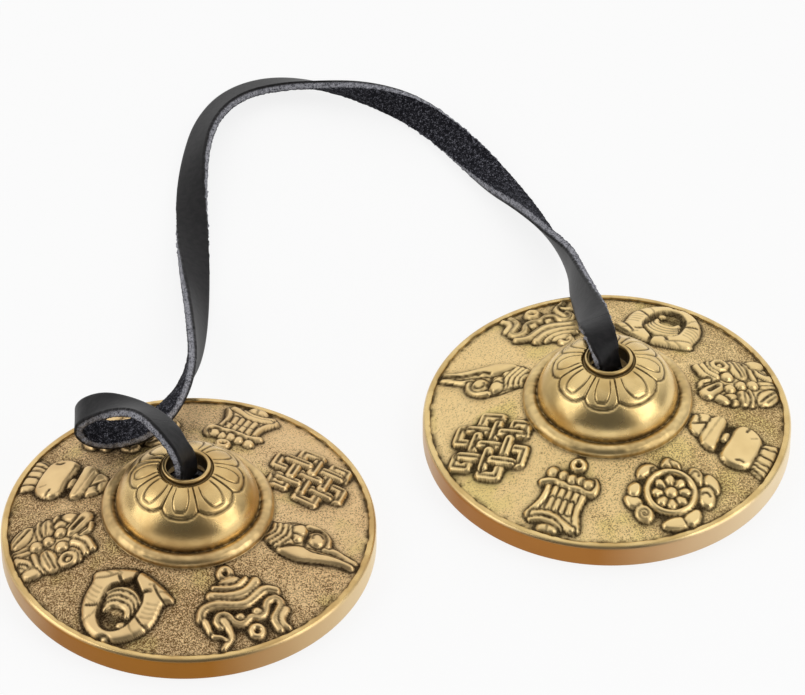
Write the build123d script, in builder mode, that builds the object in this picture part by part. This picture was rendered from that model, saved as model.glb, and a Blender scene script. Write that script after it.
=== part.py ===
"""Tingsha: a pair of cast cymbals joined by one flat leather strap, knotted inside each dome."""
import os
from math import cos, radians, sin, tan
from build123d import *

os.makedirs("parts", exist_ok=True)

# Both cymbals come from one pattern. All lengths are in millimetres.
CYMBAL_DIAMETER = 65.0
RIM_HEIGHT = 4.6
RIM_FACE_WIDTH = 5.5
RIM_EDGE_ROUND = 0.9
RIM_WALL_DRAFT = 0.6
LIP_WIDTH = 1.3
FIELD_STEP = 0.45
FIELD_SLOPE = 0.285
PLATE_THICKNESS = 3.0
DOME_DIAMETER = 24.8
DOME_RISE = 9.0
DOME_WALL = 2.7
DOME_INNER_CHAMFER = 1.0
BEAD_SECTION_RADIUS = 1.45
COLLAR_DIAMETER = 8.4
COLLAR_HEIGHT = 0.5
GROOVE_WIDTH = 0.5
GROOVE_DEPTH = 0.45
HOLE_DIAMETER = 7.0

# Raised emblems on the field and petals cut into the dome. The emblems are drawn for a field
# this wide and grow with it.
EMBLEM_HEIGHT = 0.55
EMBLEM_ROOT = 1.5
EMBLEM_SPAN = 16.3
PETAL_CUT_WIDTH = 0.5
PETAL_CUT_DEPTH = 0.3
PETAL_CUSP_SHARE = 0.72
PETAL_TIP_SHARE = 0.8

# The pair on the table: hole to hole, and how each casting is turned about its own axis.
HOLE_SPACING = 77.88
RIGHT_TURN = -20.3
LEFT_TURN = 159.0

# Leather strap
STRAP_WIDTH = 5.7
STRAP_THICKNESS = 1.6
STRAP_END_WIDTH = 4.7
SHANK_LENGTH = 12.5
SHANK_STEP = 1.25
STRAP_STEP = 3.2

# Knot at each end, pulled up against the inside of the dome
KNOT_WIDTH = 9.4
KNOT_DEPTH = 6.2
KNOT_BAND = 4.4
KNOT_TILT = 20.0
KNOT_TAIL = 7.5
KNOT_CLEARANCE = 0.3

# Heights and radii that follow from the sizes above
rim_radius = CYMBAL_DIAMETER / 2
field_radius = rim_radius - LIP_WIDTH
field_edge_z = RIM_HEIGHT - FIELD_STEP
dome_radius = DOME_DIAMETER / 2
hollow_radius = dome_radius - DOME_WALL
hollow_rise = DOME_RISE - DOME_WALL
hole_radius = HOLE_DIAMETER / 2
collar_radius = COLLAR_DIAMETER / 2
bead_radius = dome_radius + 0.75 * BEAD_SECTION_RADIUS
plate_drop = PLATE_THICKNESS * (1 + FIELD_SLOPE**2) ** 0.5
hole_x = HOLE_SPACING / 2


def field_z(radius):
    """Height of the engraved field, a shallow cone, at a radius."""
    return field_edge_z + FIELD_SLOPE * (field_radius - radius)


def ellipse_z(radius, wide, high):
    """Height of a half ellipse above its foot at a radius."""
    return high * (1 - (radius / wide) ** 2) ** 0.5


bead_z = field_z(bead_radius)
dome_foot_z = bead_z + 0.65 * BEAD_SECTION_RADIUS
collar_z = dome_foot_z + ellipse_z(collar_radius, dome_radius, DOME_RISE) + COLLAR_HEIGHT
hole_mouth_z = dome_foot_z + ellipse_z(hole_radius, hollow_radius, hollow_rise)
wall_foot_radius = rim_radius - RIM_FACE_WIDTH
wall_top_radius = wall_foot_radius - RIM_WALL_DRAFT
field_start = bead_radius + BEAD_SECTION_RADIUS
emblem_radius = (field_start + field_radius) / 2
emblem_scale = (field_radius - field_start) / EMBLEM_SPAN


# Emblem outlines: u runs to the right and v towards the dome, from the middle of each emblem.

def oval(u, v, wide, high, lean=0.0, sides=6):
    """Outline of an oval with short straight sides."""
    outline = []
    for side in range(sides):
        turn = radians(360 * side / sides)
        x = wide * cos(turn)
        y = high * sin(turn)
        across = u + x * cos(radians(lean)) - y * sin(radians(lean))
        outline.append((across, v + x * sin(radians(lean)) + y * cos(radians(lean))))
    return outline


def band(width, *points):
    """Outline of a band of even width along a bent line."""
    left = []
    right = []
    for index, (u, v) in enumerate(points):
        before = Vector(*points[max(index - 1, 0)])
        here = Vector(u, v)
        after = Vector(*points[min(index + 1, len(points) - 1)])
        first = (here - before).normalized() if index else (after - here).normalized()
        last = (after - here).normalized() if index < len(points) - 1 else first
        along = (first + last).normalized()
        reach = width / 2 / max(along.dot(first), 0.6)
        left.append((u - along.Y * reach, v + along.X * reach))
        right.append((u + along.Y * reach, v - along.X * reach))
    return left + right[::-1]


def wheel():
    """Wheel with eight spokes in a wreath of petals."""
    wreath = [
        (8.6, -1.0), (8.0, 1.2), (6.4, 1.0), (6.3, 3.4), (4.6, 4.4), (3.2, 3.6), (3.0, 5.5), (0.9, 5.7),
        (-0.2, 4.4), (-0.9, 5.8), (-3.6, 5.8), (-4.6, 3.9), (-7.4, 3.4), (-6.6, 1.6), (-8.4, 0.9),
        (-8.4, -2.6), (-5.4, -3.0), (-4.0, -4.2), (-4.5, -6.6), (-2.6, -7.5), (-0.6, -6.3), (1.2, -7.5),
        (3.0, -6.4), (3.2, -4.6), (5.4, -4.8), (5.8, -2.7), (8.0, -3.2),
    ]
    gaps = []
    for gap in range(8):
        turn = 45 * gap
        corners = [(1.2, turn), (3.4, turn - 14), (3.4, turn + 14)]
        gaps.append([(r * cos(radians(a)) - 0.35, r * sin(radians(a)) - 0.4) for r, a in corners])
    return [wreath], gaps


def vase():
    """Vase with a lid and two buds."""
    raised = [
        oval(0.0, 6.3, 1.2, 1.3, -15),
        oval(2.6, 6.0, 1.05, 1.4, 25),
        [(-2.8, 2.3), (-2.3, 4.8), (0.8, 4.6), (4.0, 4.2), (4.4, 2.1), (1.6, 2.3)],
        oval(0.7, 1.25, 1.35, 0.65),
        oval(0.4, -2.2, 4.7, 3.05, -4, 12),
        [(-2.8, -4.4), (3.2, -4.4), (3.3, -6.2), (4.3, -7.6), (-4.0, -7.8), (-2.9, -6.4)],
    ]
    return raised, []


def lotus():
    """Lotus flower with four seeds and a leaf."""
    raised = [
        [(-5.9, -3.0), (-3.4, -3.7), (-1.9, -5.4), (-1.7, -7.7), (-4.2, -7.7), (-6.0, -5.4)],
        band(1.6, (-0.6, -5.2), (-0.6, -7.7)),
        band(1.6, (1.0, -7.6), (2.0, -6.2), (3.8, -5.4)),
        oval(4.8, -5.9, 1.15, 1.9, -8),
        oval(3.5, -2.6, 2.7, 1.6, 8),
        oval(-3.9, -1.2, 2.1, 1.3, -14),
        oval(-4.4, 2.7, 2.2, 1.1, 65),
        band(2.2, (0.8, 2.8), (2.2, 4.3), (4.5, 4.6)),
        oval(4.7, 0.7, 1.65, 1.65),
        band(2.2, (-3.2, 6.0), (-2.1, 4.6), (-0.6, 1.8)),
        oval(-1.7, 0.9, 1.05, 1.05),
        oval(1.5, 0.35, 1.15, 1.15),
        oval(-0.8, -1.5, 1.0, 1.0),
        oval(-0.7, -3.7, 1.1, 1.1),
    ]
    return raised, []


def fish():
    """Two fish, nose to nose below and tail to tail above."""
    pair = [
        (-0.4, 6.1), (-2.6, 5.8), (-5.4, 4.9), (-8.0, 3.3), (-7.1, 2.0), (-7.4, -0.6),
        (-6.9, -3.2), (-5.5, -5.6), (-3.6, -7.2), (-1.4, -7.9), (1.2, -7.7), (3.2, -6.5),
        (4.9, -4.8), (6.1, -2.2), (5.8, 1.9), (7.9, 3.2), (5.2, 4.6), (2.2, 5.6),
    ]
    gap = [
        (-0.5, 3.9), (-3.9, 1.4), (-4.0, -1.2), (-3.6, -3.8), (-1.8, -5.8), (0.4, -5.9),
        (1.9, -4.2), (2.4, -1.6), (2.4, 1.2),
    ]
    return [pair], [gap, band(0.6, (-0.4, 6.6), (-0.6, 3.6))]


def fish_scales():
    """Ribs across the gap between the two fish."""
    ribs = [
        [(-4.3, 0.4), (-2.2, 1.9), (0.6, 1.9), (2.8, 0.4), (0.6, 0.8), (-2.2, 0.8)],
        [(-4.3, -1.3), (-2.2, 0.1), (0.6, 0.1), (2.8, -1.3), (0.6, -1.0), (-2.2, -1.0)],
    ]
    return ribs, []


def parasol():
    """Parasol with ribbons and rings."""
    raised = [
        oval(-0.7, 6.0, 1.55, 1.55),
        [(-1.9, 5.2), (0.5, 5.2), (1.7, 4.1), (0.2, 3.5), (-1.8, 3.5), (-3.2, 4.3)],
        band(1.6, (-4.7, 3.0), (-2.4, 1.9), (1.2, 1.7), (3.6, 3.0)),
        band(1.5, (-8.0, -0.2), (-6.4, 1.4), (-1.9, 0.0), (0.2, -0.5), (4.4, 1.3), (6.1, 0.3)),
        band(
            1.2, (-5.5, -2.9), (-4.7, -0.9), (-3.2, -1.9), (-1.9, -3.9), (1.2, -3.2),
            (3.6, -1.2), (6.0, -1.6), (3.3, -4.7), (3.8, -6.8),
        ),
        band(1.1, (-7.5, -0.6), (-7.6, -3.2)),
        band(1.1, (-4.4, -2.0), (-5.8, -6.8)),
        band(1.1, (6.0, -3.6), (5.0, -7.0)),
        oval(-0.1, -5.8, 1.55, 1.55),
    ]
    return raised, []


def conch():
    """Conch shell with a ribbed tip."""
    raised = [
        band(0.8, (-2.4, 7.5), (0.0, 6.6), (1.6, 7.0)),
        band(0.9, (-2.6, 6.1), (0.0, 5.1), (2.2, 5.5)),
        band(0.9, (-2.2, 4.6), (0.0, 3.6), (2.6, 4.3)),
        [
            (-3.9, 5.8), (-4.3, 2.2), (-2.1, -2.4), (-1.0, -5.0), (-1.0, -7.7),
            (0.6, -7.7), (0.7, -5.2), (-0.3, -0.6), (-0.7, 2.2), (-2.2, 4.4),
        ],
        band(1.0, (0.9, -1.8), (1.4, -4.2), (1.0, -7.4)),
        [(-0.8, 3.5), (2.8, 4.8), (4.2, 3.2), (3.0, 1.9), (0.4, 2.0)],
        band(1.0, (4.1, 2.2), (4.2, -0.4), (1.8, -2.0)),
        oval(2.1, 0.1, 1.7, 1.5, 15),
    ]
    return raised, []


def knot():
    """Endless knot: three strands each way, joined by loops."""
    step = 2.9
    reach = 4.5
    out = 6.2
    far = 4.9
    width = 1.7

    def line(*stops):
        return band(width, *[(0.72 * (p + q) - 0.2, 0.7 * (p - q)) for p, q in stops])

    raised = []
    for row in (-step, 0, step):
        raised.append(line((-reach, row), (reach, row)))
        raised.append(line((row, -reach), (row, reach)))
    for side in (1, -1):
        a = side * 4
        b = side * out
        c = side * step
        raised.append(line((a, 0), (b, 0), (b, c), (a, c)))
        raised.append(line((0, a), (0, b), (c, b), (c, a)))
        d = side * far
        raised.append(line((a, -c), (d, -c), (d, -d), (c, -d), (c, -a)))
    return raised, []


def banner():
    """Banner of victory under a small ring."""
    raised = [
        oval(0.9, 6.0, 1.45, 1.35),
        [
            (-3.2, 1.0), (-3.2, -2.0), (-5.0, -5.0), (-4.1, -6.7), (-2.0, -6.3), (0.0, -5.9),
            (2.4, -6.6), (4.6, -7.1), (5.5, -6.3), (4.2, -3.4), (4.3, 1.0),
        ],
        oval(-0.2, -7.0, 1.9, 1.0),
        band(1.2, (-4.1, 1.3), (-2.4, 2.2), (0.4, 1.6), (5.2, 1.4), (4.6, 3.9)),
        [(-3.9, 3.4), (-2.9, 4.6), (-1.8, 3.6), (-0.8, 4.4), (0.8, 4.1), (2.4, 4.2), (3.3, 3.2), (-2.9, 2.8)],
    ]
    return raised, []


# Place of each emblem round the casting, in degrees
EMBLEMS = (
    (297.4, wheel),
    (337.5, vase),
    (16.3, lotus),
    (65.2, fish),
    (65.2, fish_scales),
    (116.3, parasol),
    (160.6, conch),
    (205.6, knot),
    (248.5, banner),
)
# Edges between the hand-cut petals round the dome, in degrees
PETAL_EDGES = (-164, -120, -80, -21, 20, 63, 105, 155)


def emblem_plane(angle):
    """Plane that touches the emblem tops at one place round the field, X to the right, Y towards the dome."""
    outward = Vector(cos(radians(angle)), sin(radians(angle)), 0)
    middle = outward * emblem_radius + Vector(0, 0, field_z(emblem_radius) + EMBLEM_HEIGHT)
    return Plane(middle, x_dir=Vector(0, 0, 1).cross(outward), z_dir=Vector(0, 0, 1) + outward * FIELD_SLOPE)


def make_emblems():
    """All eight emblems, with their roots inside the plate."""
    with BuildPart() as emblems:
        for angle, draw in EMBLEMS:
            raised, sunk = draw()
            with BuildSketch(emblem_plane(angle)):
                for outline in raised:
                    Polygon(*[(u * emblem_scale, v * emblem_scale) for u, v in outline], align=None)
                for outline in sunk:
                    points = [(u * emblem_scale, v * emblem_scale) for u, v in outline]
                    Polygon(*points, align=None, mode=Mode.SUBTRACT)
            extrude(amount=-EMBLEM_ROOT)
    return emblems.part


def on_dome(share, angle):
    """A point over the dome, given as a share of its radius and an angle in degrees."""
    return (share * dome_radius * cos(radians(angle)), share * dome_radius * sin(radians(angle)))


def make_petal_cuts():
    """Cuts round eight petals on the dome: a line between neighbours and a scallop at each tip."""
    start = (collar_radius + GROOVE_WIDTH / 2) / dome_radius
    with BuildSketch() as drawing:
        for left, right in zip(PETAL_EDGES, PETAL_EDGES[1:] + (PETAL_EDGES[0] + 360,)):
            turn = right - left
            Polygon(*band(PETAL_CUT_WIDTH, on_dome(start, left), on_dome(PETAL_CUSP_SHARE, left)), align=None)
            tip = (
                on_dome(PETAL_CUSP_SHARE, left),
                on_dome(PETAL_TIP_SHARE, left + 0.28 * turn),
                on_dome(PETAL_TIP_SHARE, right - 0.28 * turn),
                on_dome(PETAL_CUSP_SHARE, right),
            )
            Polygon(*band(PETAL_CUT_WIDTH, *tip), align=None)
    with BuildPart() as cuts:
        add(drawing.sketch)
        extrude(amount=2 * collar_z)
        with BuildSketch(Plane.XZ):
            with Locations((0, dome_foot_z)):
                Ellipse(dome_radius + PETAL_CUT_DEPTH, DOME_RISE + PETAL_CUT_DEPTH)
                Ellipse(dome_radius - PETAL_CUT_DEPTH, DOME_RISE - PETAL_CUT_DEPTH, mode=Mode.SUBTRACT)
            with Locations((0, dome_foot_z)):
                Rectangle(2 * dome_radius, 2 * DOME_RISE, align=(Align.MIN, Align.MIN), mode=Mode.INTERSECT)
        revolve(axis=Axis.Z, mode=Mode.INTERSECT)
    return cuts.part


emblem_layer = make_emblems()
petal_cuts = make_petal_cuts()


def make_cymbal(name, centre_x, turn):
    """One cymbal standing on its flat rim, turned about its own axis."""
    casting = Plane((centre_x, 0, 0), x_dir=(cos(radians(turn)), sin(radians(turn)), 0))
    section_plane = Plane(casting.origin, x_dir=casting.x_dir, z_dir=-casting.y_dir)
    with BuildPart() as cymbal:
        with BuildSketch(section_plane) as section:
            # Rim band, lip and the field that climbs to the dome
            with BuildLine():
                Polyline(
                    (0, 0),
                    (rim_radius, 0),
                    (rim_radius, RIM_HEIGHT),
                    (field_radius, RIM_HEIGHT),
                    (field_radius, field_edge_z),
                    (bead_radius, bead_z),
                    (0, bead_z),
                    close=True,
                )
            make_face()
            fillet(section.vertices().sort_by_distance((rim_radius, RIM_HEIGHT))[0], RIM_EDGE_ROUND)
            # Dome, the bead round its foot, and the collar round the hole
            with Locations((0, dome_foot_z)):
                Ellipse(dome_radius, DOME_RISE)
            with Locations((bead_radius, bead_z)):
                Circle(BEAD_SECTION_RADIUS)
            with Locations((0, collar_z)):
                Rectangle(2 * collar_radius, 2 * (collar_z - dome_foot_z), align=(Align.CENTER, Align.MAX))
            with Locations((collar_radius, collar_z - COLLAR_HEIGHT - GROOVE_DEPTH)):
                Rectangle(GROOVE_WIDTH, DOME_RISE, align=(Align.MIN, Align.MIN), mode=Mode.SUBTRACT)
            # The hollow: under the plate, up into the dome and out through the hole
            with BuildLine():
                Polyline(
                    (0, 0),
                    (wall_foot_radius, 0),
                    (wall_top_radius, field_z(wall_top_radius) - plate_drop),
                    (hollow_radius, field_z(hollow_radius) - plate_drop),
                    (0, field_z(hollow_radius) - plate_drop),
                    close=True,
                )
            make_face(mode=Mode.SUBTRACT)
            Rectangle(2 * hollow_radius, dome_foot_z, align=(Align.CENTER, Align.MIN), mode=Mode.SUBTRACT)
            with Locations((0, dome_foot_z)):
                Ellipse(hollow_radius, hollow_rise, mode=Mode.SUBTRACT)
            Rectangle(2 * hole_radius, 2 * collar_z, align=(Align.CENTER, Align.MIN), mode=Mode.SUBTRACT)
            # Only the half beyond the axis is turned
            Rectangle(rim_radius, 2 * collar_z, align=(Align.MIN, Align.MIN), mode=Mode.INTERSECT)
            inner_corner = (hollow_radius, field_z(hollow_radius) - plate_drop)
            chamfer(section.vertices().sort_by_distance(inner_corner)[0], DOME_INNER_CHAMFER)
        revolve(axis=Axis(casting.origin, casting.z_dir))
        with Locations(casting.location):
            add(emblem_layer)
            add(petal_cuts, mode=Mode.SUBTRACT)
    cymbal.part.label = name
    export_step(cymbal.part, f"parts/{name}.step")
    return cymbal.part


# Middle line of the strap from the left knot to the right knot: x, y, z, and the roll of the
# smooth face in degrees, 0 facing up. It makes a small loop behind the left dome, lies on the
# table behind the pair and turns over twice before it drops into the right dome.
STRAP_ROUTE = [
    (-hole_x, 0.0, hole_mouth_z, -40),
    (-hole_x, 0.0, 19.2, -40),
    (-39.8, 0.4, 22.4, -26),
    (-40.8, 3.0, 24.2, -30),
    (-41.6, 7.0, 24.0, -31),
    (-42.7, 11.8, 22.3, -27),
    (-44.9, 17.0, 19.6, -12),
    (-48.0, 20.4, 17.8, 8),
    (-51.0, 22.2, 15.4, 15),
    (-51.2, 23.0, 11.8, 170),
    (-48.6, 21.9, 9.8, -184),
    (-44.6, 20.4, 9.7, -180),
    (-40.4, 19.8, 10.3, -170),
    (-36.6, 20.8, 11.4, -152),
    (-33.2, 23.8, 11.6, -134),
    (-30.0, 28.6, 10.2, -118),
    (-26.7, 34.6, 8.0, -97),
    (-23.6, 41.6, 5.6, -77),
    (-20.4, 50.4, 3.7, -60),
    (-16.8, 62.0, 2.5, -36),
    (-13.2, 74.0, 1.6, -4),
    (-9.8, 84.6, 2.1, 24),
    (-5.6, 94.4, 2.8, 42),
    (-0.4, 102.8, 2.7, 38),
    (6.6, 108.2, 2.4, 28),
    (14.8, 108.6, 2.4, 26),
    (23.2, 104.2, 2.9, 44),
    (30.8, 98.2, 3.3, 78),
    (37.2, 90.4, 3.2, 116),
    (41.4, 80.0, 2.5, 147),
    (44.6, 68.4, 1.6, 185),
    (46.6, 57.4, 2.9, 222),
    (47.8, 47.4, 3.6, 245),
    (47.6, 39.0, 5.6, 268),
    (46.2, 30.6, 8.8, 285),
    (44.0, 21.4, 12.6, 302),
    (42.0, 12.8, 17.4, 326),
    (40.4, 6.6, 21.6, 344),
    (39.5, 2.8, 23.4, 356),
    (39.0, 0.4, 22.2, 366),
    (hole_x, 0.0, 19.2, 370),
    (hole_x, 0.0, hole_mouth_z, 370),
]
route_points = [Vector(x, y, z) for x, y, z, roll in STRAP_ROUTE]
route_runs = [(b - a).length for a, b in zip(route_points, route_points[1:])]
NEARLY_UPRIGHT = 0.2


def corner_radius(index):
    """Radius of the arc at an inner route point, as large as its two runs allow."""
    before = route_points[index] - route_points[index - 1]
    after = route_points[index + 1] - route_points[index]
    half_turn = radians(before.get_angle(after)) / 2
    return 0.45 * min(before.length, after.length) / tan(half_turn)


def smooth_face(index):
    """Direction that the smooth face of the strap looks in at a route point."""
    before = route_points[max(index - 1, 0)]
    after = route_points[min(index + 1, len(route_points) - 1)]
    along = (after - before).normalized()
    left = Vector(0, 0, 1).cross(along)
    if left.length < NEARLY_UPRIGHT:
        left = along.cross(Vector(0, 1, 0))
    left = left.normalized()
    roll = radians(STRAP_ROUTE[index][3])
    return along.cross(left) * cos(roll) + left * sin(roll)


corner_radii = [corner_radius(index) for index in range(1, len(route_points) - 1)]
with BuildLine() as strap_line:
    FilletPolyline(*route_points, radius=corner_radii)
strap_path = strap_line.wires()[0]
if (strap_path.position_at(0) - route_points[0]).length > STRAP_WIDTH:
    strap_path = Wire([edge.reversed() for edge in reversed(strap_path.edges())])
strap_length = strap_path.length
route_faces = [smooth_face(index) for index in range(len(route_points))]
route_stops = [strap_length * sum(route_runs[:index]) / sum(route_runs) for index in range(len(route_points))]


def strap_plane(distance):
    """Plane across the strap at a distance from the left knot, X along the strap's width."""
    share = distance / strap_length
    along = strap_path.tangent_at(share)
    last = max(index for index, stop in enumerate(route_stops[:-1]) if stop <= distance)
    blend = (distance - route_stops[last]) / (route_stops[last + 1] - route_stops[last])
    face = route_faces[last] * (1 - blend) + route_faces[last + 1] * blend
    return Plane(strap_path.position_at(share), x_dir=face.cross(along), z_dir=along)


def strap_width(distance):
    """Width of the strap, which is squeezed narrower where it enters each hole."""
    share = min(distance, strap_length - distance) / SHANK_LENGTH
    return STRAP_END_WIDTH + (STRAP_WIDTH - STRAP_END_WIDTH) * min(share, 1)


def make_strap(name, start, end, step):
    """A stretch of the strap between two distances from the left knot."""
    count = round((end - start) / step)
    with BuildPart() as stretch:
        for index in range(count + 1):
            distance = start + (end - start) * index / count
            with BuildSketch(strap_plane(distance)):
                Rectangle(strap_width(distance), STRAP_THICKNESS)
        loft(ruled=True)
    stretch.part.label = name
    export_step(stretch.part, f"parts/{name}.step")
    section_volume = (strap_width(start) + strap_width(end)) / 2 * STRAP_THICKNESS * (end - start)
    print(f"{name}: volume over section times length {stretch.part.volume / section_volume:.3f}")
    return stretch.part


def make_knot(name, end_plane):
    """Overhand knot below the hole: two crossing wraps round the strap, and a short tail."""
    stem = Plane(end_plane.origin, x_dir=end_plane.x_dir, z_dir=(0, 0, 1))
    tilt = radians(KNOT_TILT)
    wrap_reach = KNOT_WIDTH / 2 * sin(tilt) + KNOT_BAND / 2 * cos(tilt)
    seat_radius = KNOT_WIDTH / 2 * cos(tilt) - KNOT_BAND / 2 * sin(tilt)
    seat_z = dome_foot_z + ellipse_z(seat_radius, hollow_radius, hollow_rise)
    middle = stem.offset(seat_z - KNOT_CLEARANCE - wrap_reach - hole_mouth_z)
    with BuildPart() as knot:
        with BuildSketch(stem):
            Rectangle(STRAP_END_WIDTH, STRAP_THICKNESS)
        extrude(amount=-(hole_mouth_z - middle.origin.Z))
        for lean in (KNOT_TILT, -KNOT_TILT):
            with BuildSketch(middle.rotated((0, lean, 0))):
                SlotOverall(KNOT_WIDTH, KNOT_DEPTH)
            extrude(amount=KNOT_BAND / 2, both=True)
        with BuildSketch(middle.rotated((KNOT_TILT, 0, 0))):
            Rectangle(STRAP_END_WIDTH, STRAP_THICKNESS)
        extrude(amount=-KNOT_TAIL)
    knot.part.label = name
    export_step(knot.part, f"parts/{name}.step")
    return knot.part


make_cymbal("left_cymbal", -hole_x, LEFT_TURN)
make_cymbal("right_cymbal", hole_x, RIGHT_TURN)
make_strap("left_strap_shank", 0, SHANK_LENGTH, SHANK_STEP)
make_strap("strap", SHANK_LENGTH, strap_length - SHANK_LENGTH, STRAP_STEP)
make_strap("right_strap_shank", strap_length - SHANK_LENGTH, strap_length, SHANK_STEP)
make_knot("left_strap_knot", strap_plane(0))
make_knot("right_strap_knot", strap_plane(strap_length))

print(f"strap length {strap_length:.1f}, hole mouth at z {hole_mouth_z:.2f}, collar top {collar_z:.2f}")
print("strap radii", [round(radius, 1) for radius in corner_radii])
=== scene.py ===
import math

import bpy
import numpy as np
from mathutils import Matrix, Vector


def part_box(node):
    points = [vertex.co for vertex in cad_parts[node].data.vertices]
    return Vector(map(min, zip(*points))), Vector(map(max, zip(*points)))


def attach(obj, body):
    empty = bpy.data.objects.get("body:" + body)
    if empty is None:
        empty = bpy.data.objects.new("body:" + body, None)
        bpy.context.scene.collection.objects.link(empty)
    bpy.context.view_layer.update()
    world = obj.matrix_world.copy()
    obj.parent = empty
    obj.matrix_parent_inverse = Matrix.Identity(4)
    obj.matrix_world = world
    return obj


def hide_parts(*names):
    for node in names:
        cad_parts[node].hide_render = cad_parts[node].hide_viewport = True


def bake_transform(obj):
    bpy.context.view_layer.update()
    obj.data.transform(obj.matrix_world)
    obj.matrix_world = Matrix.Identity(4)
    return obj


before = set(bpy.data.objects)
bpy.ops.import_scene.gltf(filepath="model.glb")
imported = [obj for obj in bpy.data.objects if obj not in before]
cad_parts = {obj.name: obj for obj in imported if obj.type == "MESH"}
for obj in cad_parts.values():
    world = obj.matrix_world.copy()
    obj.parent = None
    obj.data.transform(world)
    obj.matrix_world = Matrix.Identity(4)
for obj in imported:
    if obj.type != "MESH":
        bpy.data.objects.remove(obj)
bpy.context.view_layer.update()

MM = 0.001

# Cymbal sizes in millimetres. The rim, the top and the place of each axis come from the frame.
low_corner, high_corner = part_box("right_cymbal")
HOLE_X = (low_corner[0] + high_corner[0]) / 2 / MM
RIM_RADIUS = (high_corner[0] - low_corner[0]) / 2 / MM
COLLAR_TOP = high_corner[2] / MM
RIM_HEIGHT = 4.6
RIM_EDGE_ROUND = 0.9
RIM_FOOT_ROUND = 0.3
RIM_FACE_WIDTH = 5.5
RIM_WALL_DRAFT = 0.6
LIP_WIDTH = 1.3
LIP_ROUND = 0.2
FIELD_STEP = 0.45
FIELD_SLOPE = 0.285
PLATE_THICKNESS = 3.0
DOME_RADIUS = 12.4
DOME_RISE = 9.0
DOME_WALL = 2.7
BEAD_SECTION_RADIUS = 1.45
COLLAR_RADIUS = 4.2
COLLAR_HEIGHT = 0.5
COLLAR_ROUND = 0.2
GROOVE_WIDTH = 0.5
GROOVE_DEPTH = 0.45
HOLE_RADIUS = 3.5
HOLE_ROUND = 0.3
RIGHT_TURN = -20.3
LEFT_TURN = 159.0

FIELD_RADIUS = RIM_RADIUS - LIP_WIDTH
FIELD_EDGE_Z = RIM_HEIGHT - FIELD_STEP
BEAD_RADIUS = DOME_RADIUS + 0.75 * BEAD_SECTION_RADIUS
# Where the bead's section starts, in degrees, beside the dome's foot
BEAD_START = math.degrees(math.acos(-0.757))
PLATE_DROP = PLATE_THICKNESS * math.hypot(1, FIELD_SLOPE)


def field_z(radius):
    """Height of the engraved field, a shallow cone, at a radius."""
    return FIELD_EDGE_Z + FIELD_SLOPE * (FIELD_RADIUS - radius)


BEAD_Z = field_z(BEAD_RADIUS)
DOME_FOOT_Z = BEAD_Z + 0.65 * BEAD_SECTION_RADIUS

# Emblems round the field: radius of their middles, and how far a drawing reaches
EMBLEM_RADIUS = 23.0
EMBLEM_REACH = 9.5
# Raised forms: usual height, the gap cut round one, and the dark outline beside it, patina that also stands in for
# the shade there
RAISED = 0.8
MOAT = 0.22
OUTLINE_WIDTH = 0.5
OUTLINE_FADE = 0.22
# A drawn line has its corners cut away in so many rounds, unless it has as many points as an arc
LINE_ROUNDS = 3
DENSE_LINE = 30
# The wheel's lobes are drawn larger, because cutting their corners shrinks them
LOBE_GROWTH = 1.2

# Edges between the hand-cut petals on the dome, in degrees
PETAL_EDGES = (-164, -120, -80, -21, 20, 63, 105, 155)
PETAL_START_RADIUS = 4.9
PETAL_CUSP_RADIUS = 8.9
PETAL_TIP_RADIUS = 9.7
PETAL_SLOPE = 0.05

# Points round a ring of the casting, and rings along the longer stretches of its profile
FIELD_COUNT = 720
DOME_COUNT = 360
BACK_COUNT = 180
RING_COUNTS = {"field": FIELD_COUNT, "hole": BACK_COUNT, "back": BACK_COUNT}
FIELD_ROWS = 68
DOME_ROWS = 42
BEAD_ROWS = 12
PLATE_ROWS = 20
HOLLOW_ROWS = 18
# What is stored at each point of a casting for its material
STORED = ("patina", "ground", "cast", "side_band", "side_tone", "tarnish")
NOISE_TABLE = 256


# Drawing relief

def inner_points(a, b):
    """Two points on each stretch from a to b, a quarter in from its ends."""
    return np.stack([0.75 * a + 0.25 * b, 0.25 * a + 0.75 * b], axis=1).reshape(-1, 2)


def smooth_line(line):
    """A polyline with its corners cut away, for flowing strokes."""
    for _ in range(LINE_ROUNDS):
        line = np.concatenate([line[:1], inner_points(line[:-1], line[1:]), line[-1:]])
    return line


def smooth_outline(points, rounds):
    """A closed outline with its corners cut away, first point repeated at the end."""
    line = np.array(points, float)
    for _ in range(rounds):
        line = inner_points(line, np.roll(line, -1, axis=0))
    return np.concatenate([line, line[:1]])


def arc(u, v, radius, start, end, flat=1.0, count=36):
    """Points along an arc, with its angles in degrees and its height times flat. A list of radii makes a spiral."""
    turn = np.radians(np.linspace(start, end, count))
    return np.stack([u + radius * np.cos(turn), v + flat * radius * np.sin(turn)], axis=1)


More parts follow.
